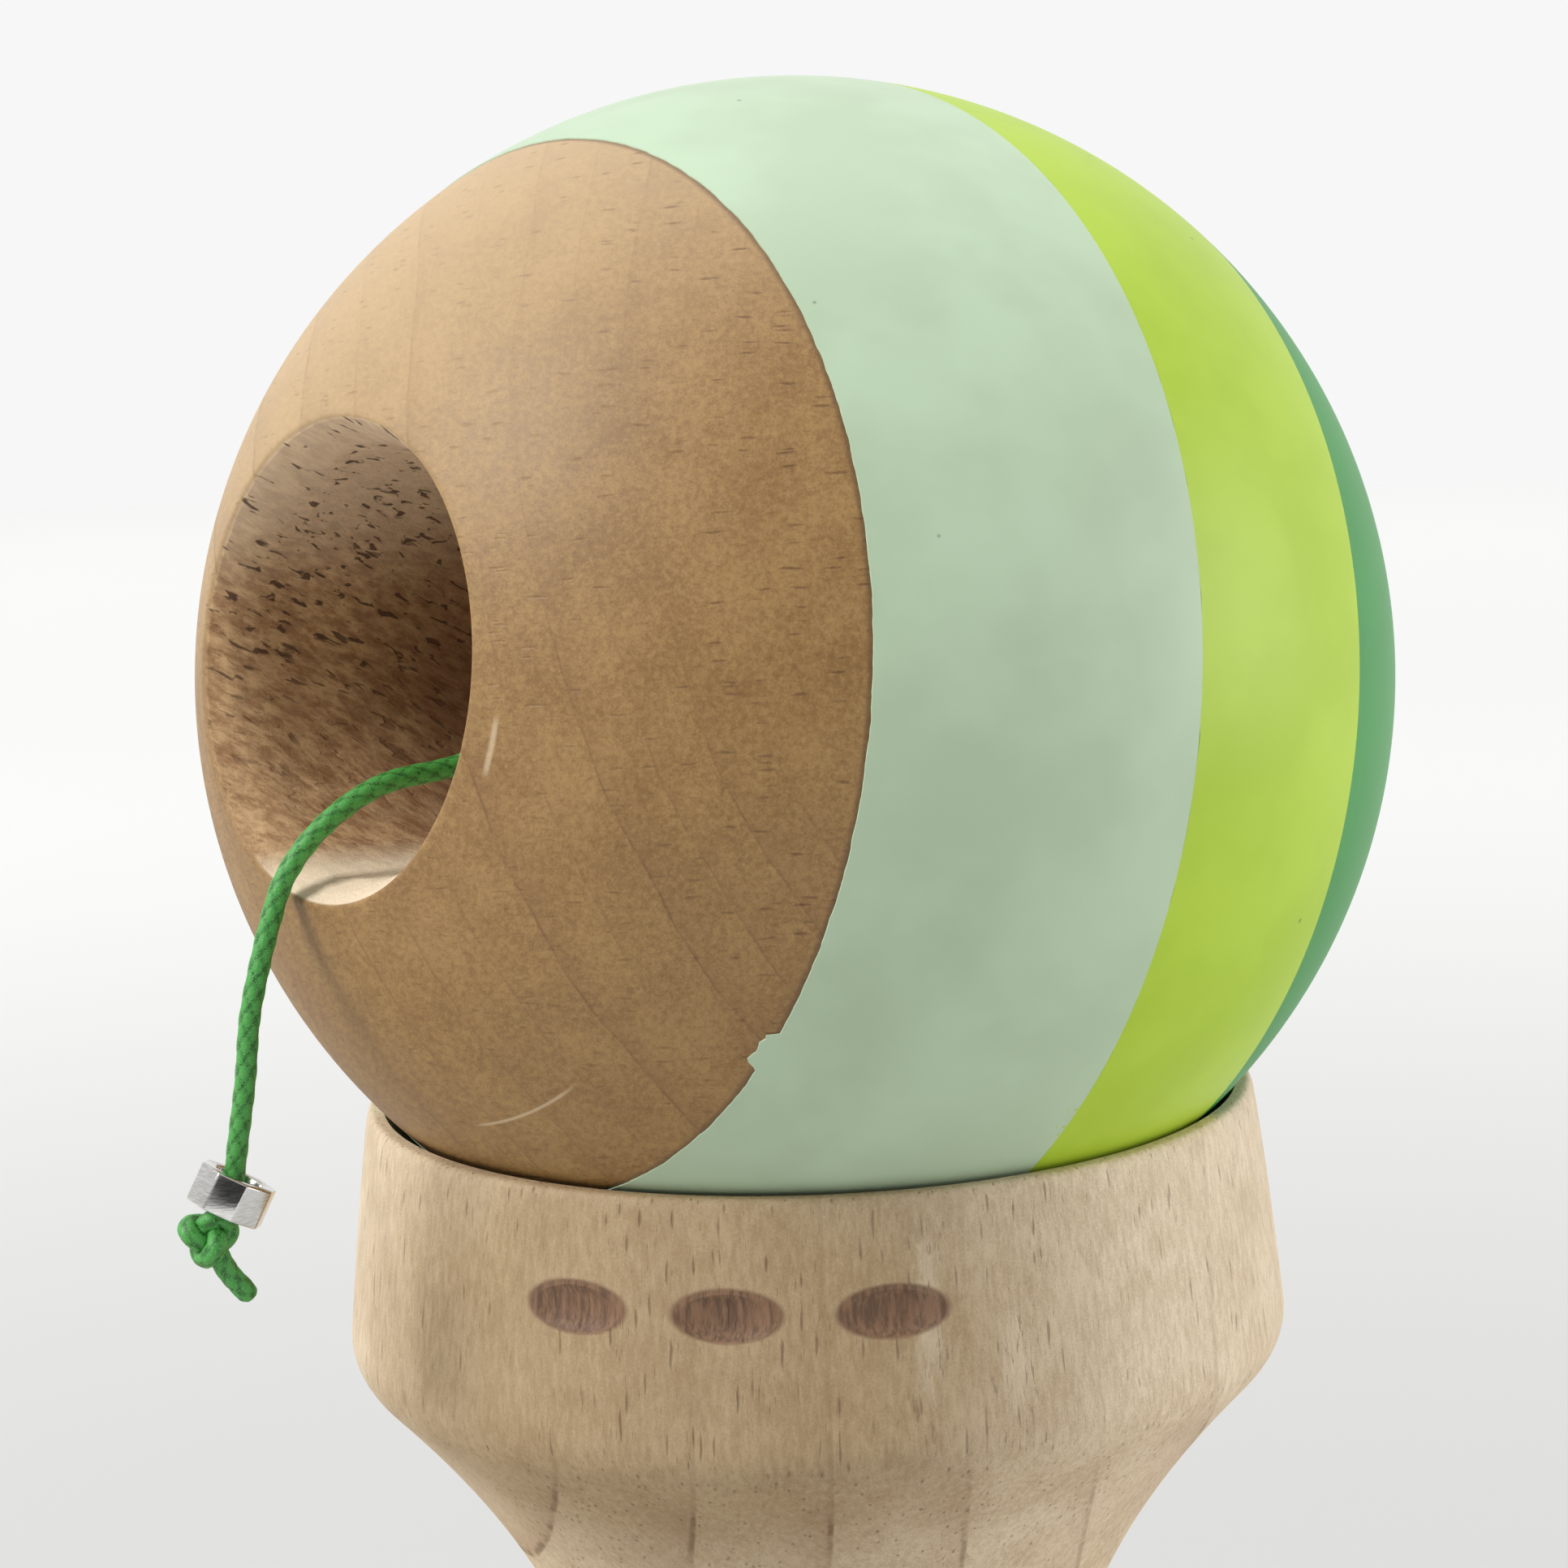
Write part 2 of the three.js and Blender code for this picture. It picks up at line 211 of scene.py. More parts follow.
def coil_route():
    """Clockwise turns: inwards on the table, a step up, then outwards on top of them."""
    points = []
    steps = round(COIL_TURNS * 16)
    for i in range(steps + 1):
        share = i / steps
        inward = 1 - abs(2 * share - 1)
        radius = COIL_OUTER_R + (COIL_INNER_R - COIL_OUTER_R) * inward
        climb = min(max((share - 0.46) / 0.08, 0), 1)
        angle = COIL_START - math.tau * COIL_TURNS * share
        height = COIL_LOW + (COIL_HIGH - COIL_LOW) * climb * climb * (3 - 2 * climb)
        points.append(COIL_CENTRE + Vector((radius * math.cos(angle), radius * math.sin(angle), height)))
    return points


tail_line = smooth_line(TAIL_ROUTE, LINE_SPACING)
slack_line = smooth_line(LEAD_ROUTE + coil_route() + RUN_ROUTE, LINE_SPACING)

# %% [markdown]
# ## Braiding the string
#
# A braid is a tube whose strands cross in two spiral directions. A flat tube with a bump texture looks
# like plastic pipe at this distance, so the strands are shaped in the mesh: each ring of points swells
# where a strand passes over and sinks between strands. The same height is kept as an attribute called
# "strand", so the material can paint shade into the gaps, and a UV map runs along the string.

# %% Braided tube
BRAID_SIDES = 18
BRAID_STRANDS = 2
BRAID_LAY = 2.5 * MM


def frames_along(line):
    """A tangent and two side vectors at each point, turned as little as possible from one to the next."""
    tangents = [(b - a).normalized() for a, b in zip(line, line[1:])]
    tangents.append(tangents[-1])
    side = tangents[0].orthogonal().normalized()
    frames = []
    for tangent in tangents:
        side = (side - tangent * side.dot(tangent)).normalized()
        frames.append((side, tangent.cross(side)))
    return frames


def braided_tube(name, line, diameter, end_taper=0.0):
    """A closed tube along line with raised strands. end_taper rounds its last stretch off."""
    radius = diameter / 2
    verts, faces, heights, uvs = [], [], [], []
    travelled = 0.0
    total = line_length(line)
    for i, (point, (side, up)) in enumerate(zip(line, frames_along(line))):
        if i:
            travelled += (point - line[i - 1]).length
        left = total - travelled
        narrow = 1.0
        if end_taper and left < end_taper:
            narrow = math.sqrt(max(1 - (1 - left / end_taper) ** 2, 0.02))
        for k in range(BRAID_SIDES):
            angle = math.tau * k / BRAID_SIDES
            lay = math.tau * travelled / BRAID_LAY
            over = math.cos(BRAID_STRANDS * angle + lay) * math.cos(BRAID_STRANDS * angle - lay)
            height = math.sqrt(abs(over))
            ring_r = radius * narrow * (0.9 + 0.1 * height)
            verts.append(point + (side * math.cos(angle) + up * math.sin(angle)) * ring_r)
            heights.append(height)
            uvs.append((k / BRAID_SIDES, travelled / diameter))
    rings = len(line)
    for i in range(rings - 1):
        for k in range(BRAID_SIDES):
            n = (k + 1) % BRAID_SIDES
            low, high = i * BRAID_SIDES, (i + 1) * BRAID_SIDES
            faces.append((low + k, low + n, high + n, high + k))
    faces.append(tuple(reversed(range(BRAID_SIDES))))
    faces.append(tuple((rings - 1) * BRAID_SIDES + k for k in range(BRAID_SIDES)))
    mesh = bpy.data.meshes.new(name)
    mesh.from_pydata([tuple(v) for v in verts], [], faces)
    mesh.attributes.new("strand", "FLOAT", "POINT").data.foreach_set("value", heights)
    layer = mesh.uv_layers.new(name="along")
    for loop in mesh.loops:
        layer.data[loop.index].uv = uvs[loop.vertex_index]
    mesh.polygons.foreach_set("use_smooth", [len(p.vertices) == 4 for p in mesh.polygons])
    piece = bpy.data.objects.new(name, mesh)
    bpy.context.scene.collection.objects.link(piece)
    return piece


tail = braided_tube("string_through_ball", tail_line, CORD_D)
slack = braided_tube("string_slack", slack_line, CORD_D)
print("braid faces:", len(tail.data.polygons), len(slack.data.polygons))

# %% [markdown]
# ## Knots
#
# The string's end is tied below the bead in an overhand knot, whose centre line is close to a trefoil.
# The short end that sticks out was melted, so it is round. A second knot, deep in the stick, holds the
# other end. The same tube draws all of them.


# %% Knots
def trefoil(centre, width, height, tilt):
    """The centre line of a pulled overhand knot, opened at one lobe."""
    line = []
    steps = 150
    for i in range(steps + 1):
        t = math.tau * (0.02 + 0.96 * i / steps)
        flat = Vector((math.sin(t) + 2 * math.sin(2 * t), math.cos(t) - 2 * math.cos(2 * t), 0)) / 3
        point = Vector((flat.x * width / 2, flat.y * width / 2, -math.sin(3 * t) * height / 2))
        line.append(centre + tilt @ point)
    return smooth_line(line, LINE_SPACING)


BEAD_CENTRE = from_ball(-24.2, -23.0, -20.7)
KNOT_CENTRE = BEAD_CENTRE + Vector((-1.15, -0.35, -1.95)) * MM
knot_tilt = Matrix.Rotation(math.radians(9), 3, "Z") @ Matrix.Rotation(math.radians(62), 3, "X")
end_knot = braided_tube("knot_below_bead", trefoil(KNOT_CENTRE, 2.05 * MM, 1.0 * MM, knot_tilt), 1.04 * MM)

END_ROUTE = [
    KNOT_CENTRE + Vector((0.25, 0.1, -0.45)) * MM, from_ball(-24.75, -23.3, -23.95),
    from_ball(-24.4, -23.05, -24.7), from_ball(-24.0, -22.8, -25.3), from_ball(-23.55, -22.5, -26.05),
]
END_ROUND = 0.5 * MM
cut_end = braided_tube("melted_end", smooth_line(END_ROUTE, LINE_SPACING), 1.1 * MM, END_ROUND)

anchor_tilt = Matrix.Rotation(math.radians(90), 3, "X")
anchor = braided_tube(
    "knot_in_stick", trefoil(from_cross(0, -6.2, KEN_Z), 2.6 * MM, 1.0 * MM, anchor_tilt), 0.95 * MM
)

# %% [markdown]
# ## Turning wood
#
# The stick, crosspiece and ball come off a lathe, and a lathe is what Blender's Spin is: an outline of
# points is extruded, then spun a full turn. Each outline is written as a few arcs and curves, with the
# points spaced closely enough that the turned wood looks round from close by.


# %% Lathe
def arc_points(radius, start, end, steps, centre_height=0.0):
    """Points (radius, height) of an arc, with angles in radians from the radius axis."""
    angles = [start + (end - start) * i / steps for i in range(steps + 1)]
    return [(radius * math.cos(a), centre_height + radius * math.sin(a)) for a in angles]


def curve_points(p0, p1, p2, p3, steps):
    """Points of a cubic Bezier curve, without its first point."""
    points = []
    for i in range(1, steps + 1):
        t = i / steps
        w = ((1 - t) ** 3, 3 * t * (1 - t) ** 2, 3 * t * t * (1 - t), t ** 3)
        points.append(tuple(sum(k * p[j] for k, p in zip(w, (p0, p1, p2, p3))) for j in (0, 1)))
    return points


def bowl_points(edge_r, lip, depth, steps):
    """A round bowl's wall from the lip's inner edge down to the bottom on the axis."""
    sphere_r = (edge_r ** 2 + depth ** 2) / (2 * depth)
    centre = lip - depth + sphere_r
    points = arc_points(sphere_r, math.asin((lip - centre) / sphere_r), -math.pi / 2, steps, centre)
    return points[:-1] + [(0.0, lip - depth)]


def new_piece(name, primitive, **settings):
    """Add one of Blender's primitives at the origin and name it."""
    bpy.ops.object.select_all(action="DESELECT")
    primitive(**settings)
    piece = bpy.context.active_object
    piece.name = piece.data.name = name
    return piece


def turn_piece(name, outline, steps):
    """Extrude a line of points from one vertex, then spin it about Z."""
    piece = new_piece(name, bpy.ops.mesh.primitive_plane_add, size=MM)
    bpy.ops.object.mode_set(mode="EDIT")
    bpy.ops.mesh.select_all(action="SELECT")
    bpy.ops.mesh.merge(type="CENTER")
    bpy.ops.transform.translate(value=(outline[0][0] * MM, 0, outline[0][1] * MM))
    for (r0, h0), (r1, h1) in zip(outline, outline[1:]):
        move = ((r1 - r0) * MM, 0, (h1 - h0) * MM)
        bpy.ops.mesh.extrude_vertices_move(TRANSFORM_OT_translate={"value": move})
    bpy.ops.mesh.select_all(action="SELECT")
    bpy.ops.mesh.spin(steps=steps, angle=math.tau, center=(0, 0, 0), axis=(0, 0, 1))
    bpy.ops.mesh.select_all(action="SELECT")
    bpy.ops.mesh.remove_doubles(threshold=0.002 * MM)
    bpy.ops.mesh.normals_make_consistent(inside=False)
    bpy.ops.object.mode_set(mode="OBJECT")
    return piece


def only(piece):
    """Make one object the only selected and active one."""
    bpy.ops.object.select_all(action="DESELECT")
    piece.select_set(True)
    bpy.context.view_layer.objects.active = piece


def settle(piece, place, turn=Matrix.Identity(4)):
    """Turn a piece, move it to its place, and keep the place in its mesh."""
    only(piece)
    piece.matrix_world = Matrix.Translation(place) @ turn
    bpy.ops.object.transform_apply(location=True, rotation=True, scale=True)


def to_axis(axis):
    """The turn that swings the Z axis to another axis."""
    return Vector((0, 0, 1)).rotation_difference(axis).to_matrix().to_4x4()


def apply_modifier(piece, kind, **settings):
    only(piece)
    modifier = piece.modifiers.new(kind.lower(), kind)
    for name, value in settings.items():
        setattr(modifier, name, value)
    bpy.ops.object.modifier_apply(modifier=modifier.name)


def carve(piece, cutter):
    """Cut one piece out of another, and drop the cutter."""
    apply_modifier(piece, "BOOLEAN", operation="DIFFERENCE", object=cutter, solver="EXACT")
    bpy.data.objects.remove(cutter)


def smooth(piece, angle=30):
    only(piece)
    bpy.ops.object.shade_smooth_by_angle(angle=math.radians(angle))


# %% [markdown]
# ## Crosspiece
#
# The crosspiece carries the big cup on top and the small cup below. Its outline is one cup's side used
# twice, with the small cup 2.7 mm narrower. The tapered socket for the stick and the string hole are
# cut across it, and three plain ovals are cut 0.35 mm deep into the big cup's band.

# %% Crosspiece
BIG_CUP_R, SMALL_CUP_R, WAIST_R = 23.9, 21.2, 12.3
HALF = CROSS_HALF / MM
NECK = 2.5
LIP_INSET = 2.2
LIP_W = 0.6
SOCKET_R = (9.9, 9.3)
STRING_HOLE_R = 1.3


def cup_side(cup_r):
    """Outside of one cup from the waist up to the lip, as (radius, height from the waist)."""
    shoulder = (cup_r - 1.1, NECK + 20.7)
    widest = (cup_r, NECK + 23.2)
    top = (cup_r - LIP_INSET + LIP_W + 0.3, HALF - 0.7)
    inner = (cup_r - LIP_INSET, HALF)
    side = [(WAIST_R, 0.0), (WAIST_R, NECK)]
    side += curve_points(side[1], (WAIST_R, NECK + 8), (cup_r - 6.4, NECK + 15.2), shoulder, 26)
    side += curve_points(shoulder, (cup_r - 0.35, NECK + 21.5), (cup_r, NECK + 22.3), widest, 8)
    side += curve_points(widest, (cup_r - 0.4, NECK + 27.4), (cup_r - 0.9, HALF - 3.4), top, 14)
    side += curve_points(top, (cup_r - 1.4, HALF - 0.2), (cup_r - 1.5, HALF), (cup_r - 1.75, HALF), 5)
    side += curve_points(side[-1], (cup_r - 2.0, HALF), (cup_r - 2.15, HALF), inner, 3)
    return side


def flipped(points):
    return [(r, -h) for r, h in reversed(points)]


upper_side = cup_side(BIG_CUP_R)
lower_side = cup_side(SMALL_CUP_R)
cross_outline = (
    flipped(bowl_points(SMALL_CUP_R - LIP_INSET, HALF, 13, 24))
    + flipped(lower_side)[1:]
    + upper_side[1:]
    + bowl_points(BIG_CUP_R - LIP_INSET, HALF, 15, 26)[1:]
)
crosspiece = turn_piece("crosspiece", cross_outline, 224)


def rod(name, r_low, r_high, length, place, turn, sides=64):
    """A tapered rod to cut with, from its middle, turned from the Z axis."""
    cutter = new_piece(
        name, bpy.ops.mesh.primitive_cone_add, vertices=sides, radius1=r_low, radius2=r_high, depth=length)
    settle(cutter, place, turn)
    return cutter


TO_X = Matrix.Rotation(math.radians(90), 4, "Y")
TO_Y = Matrix.Rotation(math.radians(-90), 4, "X")
carve(crosspiece, rod(
    "socket", SOCKET_R[0] * MM, SOCKET_R[1] * MM, 56 * MM, (0, 0, 0), TO_X, 96))
carve(crosspiece, rod(
    "string_hole", STRING_HOLE_R * MM, STRING_HOLE_R * MM, 16 * MM, (0, 14 * MM, 0), TO_Y, 32))

# %% Ovals on the band
OVAL_HEIGHT = HALF - 5.4
OVAL_SIZE = (3.0, 1.35)
OVAL_DEPTH = 0.35
OVAL_ANGLES = (-20.5, -1.6, 17.8)


def oval_places():
    """Middle and outward direction of each oval on the band, from the crosspiece's middle, in mm."""
    places = []
    for angle in OVAL_ANGLES:
        out = Vector((math.sin(math.radians(angle)), -math.cos(math.radians(angle)), 0))
        places.append((out * (BIG_CUP_R - 0.35) + Vector((0, 0, OVAL_HEIGHT)), out))
    return places


for number, (middle, out) in enumerate(oval_places()):
    stamp = new_piece(
        f"oval_{number}", bpy.ops.mesh.primitive_uv_sphere_add, segments=48, ring_count=24, radius=1)
    stamp.scale = (OVAL_SIZE[0] * MM, 2 * OVAL_DEPTH * MM, OVAL_SIZE[1] * MM)
    only(stamp)
    bpy.ops.object.transform_apply(location=False, rotation=False, scale=True)
    facing = out.to_track_quat("Y", "Z").to_matrix().to_4x4()
    settle(stamp, middle * MM, facing)
    carve(crosspiece, stamp)

settle(crosspiece, (CROSS_X, 0, CROSS_HALF))
smooth(crosspiece, 28)
print("crosspiece faces:", len(crosspiece.data.polygons))

# %% [markdown]
# ## Stick
#
# The stick is one turned piece, lying along X. Its spike fits the ball's hole, a slight taper wedges it
# in the crosspiece, and the handle swells twice before it flares into the base cup.

# %% Stick
SPIKE, HANDLE = 57.0, -108.0
BASE_R = 17.6
BASE_LIP_R = 16.0


def stick_outline():
    outline = flipped(bowl_points(BASE_LIP_R, -HANDLE, 7.5, 18))
    outline += [(BASE_LIP_R + 0.35, HANDLE), (BASE_LIP_R + 0.7, HANDLE + 0.1)]
    outline += curve_points(outline[-1], (BASE_R - 0.3, HANDLE + 0.9), (BASE_R, HANDLE + 3.5),
                            (BASE_R, HANDLE + 6.6), 10)
    outline += curve_points(outline[-1], (BASE_R, HANDLE + 7.1), (BASE_R - 0.2, HANDLE + 7.5),
                            (BASE_R - 0.7, HANDLE + 7.8), 4)
    bends = [
        [(12.0, HANDLE + 11.2), (8.2, HANDLE + 14), (8.2, HANDLE + 22)],
        [(8.2, HANDLE + 30), (10.2, HANDLE + 36), (10.2, HANDLE + 46)],
        [(10.2, HANDLE + 58), (7.4, HANDLE + 66), (7.4, HANDLE + 76)],
        [(7.4, HANDLE + 84), (10.4, HANDLE + 86), (10.4, -16.5)],
    ]
    for bend in bends:
        outline += curve_points(outline[-1], *bend, 16)
    outline += [(9.6, -14.5), (9.0, 14.0)]
    outline += curve_points(outline[-1], (8.2, 27), (5.4, 44), (3.2, SPIKE - 2.6), 22)
    outline += curve_points(outline[-1], (2.8, SPIKE - 0.9), (1.5, SPIKE), (0.0, SPIKE), 8)
    return outline


stick = turn_piece("stick", stick_outline(), 144)
settle(stick, (0, 0, 0), TO_X)
carve(stick, rod("stick_string_hole", 1.3 * MM, 1.3 * MM, 30 * MM, (0, 0, 0), TO_Y, 32))
carve(stick, rod("knot_pocket", 2.6 * MM, 2.6 * MM, 10 * MM, (0, -9.6 * MM, 0), TO_Y, 32))
settle(stick, (CROSS_X, 0, CROSS_HALF))
smooth(stick, 28)
print("stick faces:", len(stick.data.polygons))

# %% [markdown]
# ## Ball
#
# The ball is turned with its bore along Z and then swung to where the big hole faces. The bore is torn
# by the drill, so its wall is roughened in the mesh, and the hole's edge is a little uneven. The paint
# is three thin shells, sprayed against tape, each standing 0.05 mm proud of the wood.

# %% Ball wood
HOLE_R = 11.55
HOLE_TOP = math.sqrt(30 ** 2 - HOLE_R ** 2)
WOOD_R = 29.95
BORE_MOUTH_R, BORE_END_R, BORE_FLOOR = 10.3, 6.2, -14.0
TO_BORE = to_axis(BORE_AXIS)


def latitude(height, radius=WOOD_R):
    return math.asin(height / radius)


def ball_outline():
    back = -math.acos(STRING_HOLE_R / WOOD_R)
    outline = arc_points(WOOD_R, back, latitude(HOLE_TOP - 0.25), 110)
    outline += curve_points(outline[-1], (HOLE_R + 0.12, HOLE_TOP - 0.08), (HOLE_R, HOLE_TOP - 0.06),
                            (HOLE_R - 0.1, HOLE_TOP - 0.16), 4)
    outline += curve_points(outline[-1], (HOLE_R - 0.35, HOLE_TOP - 0.5),
                            (BORE_MOUTH_R + 0.3, HOLE_TOP - 1.3), (BORE_MOUTH_R, HOLE_TOP - 2.4), 8)
    wall_top = outline[-1]
    for i in range(1, 41):
        share = i / 40
        outline.append((wall_top[0] + (BORE_END_R - wall_top[0]) * share,
                        wall_top[1] + (BORE_FLOOR - wall_top[1]) * share))
    outline += curve_points(outline[-1], (BORE_END_R - 1, BORE_FLOOR - 1.5), (3, BORE_FLOOR - 2.4),
                            (STRING_HOLE_R, BORE_FLOOR - 3), 10)
    outline.append((STRING_HOLE_R, outline[0][1] + 0.4))
    outline.append(outline[0])
    return outline


ball_wood = turn_piece("ball_wood", ball_outline(), 256)


def roughen_bore(mesh):
    """Push the bore's wall in and out with stretched noise, as torn fibres stand."""
    for vertex in mesh.vertices:
        x, y, z = vertex.co / MM
        r = math.hypot(x, y)
        if r > HOLE_R - 0.05 or r < 4 or z < BORE_FLOOR - 2:
            continue
        torn = noise.fractal(Vector((x * 0.9, y * 0.9, z * 2.2)), 0.8, 2.2, 4)
        slow = noise.noise(Vector((x * 0.22, y * 0.22, z * 0.3)))
        deep = min(max((HOLE_R - r) / 0.8, 0), 1)
        push = (0.1 * torn + 0.09 * slow) * deep
        vertex.co.x += x / r * push * MM
        vertex.co.y += y / r * push * MM


roughen_bore(ball_wood.data)
settle(ball_wood, BALL, TO_BORE)
smooth(ball_wood, 40)
print("ball wood faces:", len(ball_wood.data.polygons))

# %% [markdown]
# Tape leaves an edge that is straight with small nicks, and on one side the mint paint crept under it
# and left a ragged tongue on the wood. The shell's upper edge is moved in the mesh to show both.

# %% Paint coats
COAT_R, COAT_INNER_R = 30.0, 29.88
MINT_TOP, MINT_LIME, LIME_GREEN = 15.7, 0.0, -12.9
CREEP_ANGLE, CREEP_HALF_WIDTH, CREEP_REACH = math.radians(-80.8), 2.4, 0.62


def coat_outline(low, high, steps):
    outside = arc_points(COAT_R, latitude(low, COAT_R), latitude(high, COAT_R), steps)
    inside = arc_points(COAT_INNER_R, latitude(high, COAT_INNER_R), latitude(low, COAT_INNER_R), 4)
    return outside + inside + [outside[0]]


def nicks(angle):
    """How far the taped edge strays, in mm, at an angle round the bore."""
    x, y = math.cos(angle) * 12, math.sin(angle) * 12
    fine = noise.fractal(Vector((x * 1.9, y * 1.9, 0)), 0.9, 2.1, 4) * 0.05
    off = math.remainder(angle - CREEP_ANGLE, math.tau) * 25.6
    creep = 0.0
    if abs(off) < CREEP_HALF_WIDTH / 2:
        rough = noise.noise(Vector((off * 2.2, 3.3, 0))) + 0.5 * noise.noise(Vector((off * 6.0, 1.1, 0)))
        creep = CREEP_REACH * (0.9 + 0.4 * rough) * min(1, (CREEP_HALF_WIDTH / 2 - abs(off)) / 0.3)
    return fine + creep


def ragged_edge(mesh, edge_height, reach=2.5):
    """Shift the points near a shell's upper edge along the ball by nicks()."""
    for vertex in mesh.vertices:
        x, y, z = vertex.co / MM
        if z < edge_height - reach:
            continue
        share = min(max((z - edge_height + reach) / reach, 0), 1)
        r, angle = Vector((x, y, z)).length, math.atan2(y, x)
        lat = math.asin(z / r) + nicks(angle) * share / r
        vertex.co = Vector((
            math.cos(lat) * math.cos(angle), math.cos(lat) * math.sin(angle), math.sin(lat)
        )) * r * MM


def paint_coat(name, low, high, steps, spin_steps):
    coat = turn_piece(name, coat_outline(low, high, steps), spin_steps)
    ragged_edge(coat.data, high)
    settle(coat, BALL, TO_BORE)
    smooth(coat, 40)
    return coat


BACK_EDGE = -math.sqrt(COAT_INNER_R ** 2 - STRING_HOLE_R ** 2) + 0.001
mint_coat = paint_coat("mint_paint", MINT_LIME, MINT_TOP, 34, 900)
lime_coat = paint_coat("lime_paint", LIME_GREEN, MINT_LIME, 30, 320)
green_coat = paint_coat("green_paint", BACK_EDGE, LIME_GREEN, 44, 240)

# %% [markdown]
# ## Bead
#
# The bead is a short length of polished octagonal tube. An eight-sided cylinder is drilled, its edges
# are bevelled a little, and it hangs tilted where the knot stops it.

# %% Bead
BEAD_R, BEAD_H, BEAD_BORE_R = 1.95, 1.9, 1.2
BEAD_AXIS = Vector((0.42, 0.2, 0.88)).normalized()
BEAD_TURN = Matrix.Rotation(math.radians(-64), 4, "Z")

bead = new_piece(
    "octagon_bead", bpy.ops.mesh.primitive_cylinder_add, vertices=8, radius=BEAD_R * MM, depth=BEAD_H * MM)
carve(bead, rod("bead_bore", BEAD_BORE_R * MM, BEAD_BORE_R * MM, 4 * MM, (0, 0, 0), Matrix(), 48))
apply_modifier(bead, "BEVEL", width=0.09 * MM, segments=3, limit_method="ANGLE", angle_limit=math.radians(35))
settle(bead, BEAD_CENTRE, to_axis(BEAD_AXIS) @ BEAD_TURN)
smooth(bead, 30)
print("bead faces:", len(bead.data.polygons))

# %% [markdown]
# ## Building materials from nodes
#
# A few short helpers keep the node code readable. Colours are written as the 0 to 255 values that a
# person would pick, and turned into the linear values that Blender's shaders use.


# %% Node helpers
def picked(red, green, blue):
    """A picked colour as linear RGBA."""
    def linear(value):
        value /= 255
        return value / 12.92 if value <= 0.04045 else ((value + 0.055) / 1.055) ** 2.4
    return (linear(red), linear(green), linear(blue), 1.0)


def add(tree, kind, inputs=None, **settings):
    """Add a node, set it up, and link or fill its inputs."""
    made = tree.nodes.new(kind)
    for name, value in settings.items():
        setattr(made, name, value)
    for name, value in (inputs or {}).items():
        if isinstance(value, bpy.types.NodeSocket):
            tree.links.new(value, made.inputs[name])
        else:
            made.inputs[name].default_value = value
    return made


def tree_of(*values):
    """The node tree that holds the values' sockets. Maths goes in the same tree as what it works on."""
    return next(value.id_data for value in values if isinstance(value, bpy.types.NodeSocket))


def math_of(operation, *values, clamp=False):
    inputs = dict(enumerate(values))
    made = add(tree_of(*values), "ShaderNodeMath", inputs, operation=operation, use_clamp=clamp)
    return made.outputs[0]


def times(first, second):
    return math_of("MULTIPLY", first, second)


def times_add(value, factor, addend):
    return math_of("MULTIPLY_ADD", value, factor, addend)


def inverse(value):
    """1 where value is 0, and 0 where it is 1."""
    return math_of("SUBTRACT", 1.0, value)


def vector_of(operation, *values):
    """Vector maths. LENGTH and DOT_PRODUCT give a number, the others a vector."""
    made = add(tree_of(*values), "ShaderNodeVectorMath", dict(enumerate(values)), operation=operation)
    return made.outputs["Value" if operation in ("LENGTH", "DOT_PRODUCT") else "Vector"]


def stretched(vector, x, y, z):
    return vector_of("MULTIPLY", vector, (x, y, z))


def axes_of(vector):
    return add(tree_of(vector), "ShaderNodeSeparateXYZ", {0: vector}).outputs


def coordinates_of(tree, kind="Object"):
    return add(tree, "ShaderNodeTexCoord").outputs[kind]


def noise_of(vector, scale, detail=3.0, roughness=0.55, distortion=0.0):
    made = add(tree_of(vector), "ShaderNodeTexNoise", {
        "Vector": vector, "Scale": scale, "Detail": detail, "Roughness": roughness,
        "Distortion": distortion})
    return made.outputs["Fac"]


def band(value, low, high):
    """0 below low, 1 above high, smooth between."""
    made = add(tree_of(value), "ShaderNodeMapRange", {"Value": value, "From Min": low, "From Max": high},
               interpolation_type="SMOOTHSTEP")
    return made.outputs["Result"]


def mixed(share, first, second, blend="MIX"):
    sockets = {0: share, 6: first, 7: second}
    tree = tree_of(share, first, second)
    return add(tree, "ShaderNodeMix", sockets, data_type="RGBA", blend_type=blend).outputs[2]


def tint(tone, mask, share, colour):
    """Lay a picked colour over tone, by a share of a mask."""
    return mixed(times(mask, share), tone, picked(*colour))


def ramp(value, low, high, first, second):
    """From one picked colour to another as value goes from low to high."""
    return mixed(band(value, low, high), picked(*first), picked(*second))


def new_group(name, inputs, outputs):
    """An empty shader node group with named float or vector sockets."""
    group = bpy.data.node_groups.new(name, "ShaderNodeTree")
    for label, kind in inputs:
        group.interface.new_socket(label, in_out="INPUT", socket_type=kind)
    for label, kind in outputs:
        group.interface.new_socket(label, in_out="OUTPUT", socket_type=kind)
    enter = group.nodes.new("NodeGroupInput").outputs
    leave = group.nodes.new("NodeGroupOutput").inputs
    return group, enter, leave


def place_group(tree, group, inputs):
    return add(tree, "ShaderNodeGroup", inputs, node_tree=group).outputs


FLOAT, VECTOR = "NodeSocketFloat", "NodeSocketVector"

# %% [markdown]
# ## Wood grain as one shared group
#
# Beech shows three things: growth rings, which are shells round the tree's heart; short dark flecks;
# and a fine mottle of fibres and sanding marks. One group draws all three for every wooden piece. It
# takes a position in millimetres in the wood's own axes, with the fibres along Z and the tree's heart
# at X = Y = 0, so each piece only says how it was sawn from the tree.


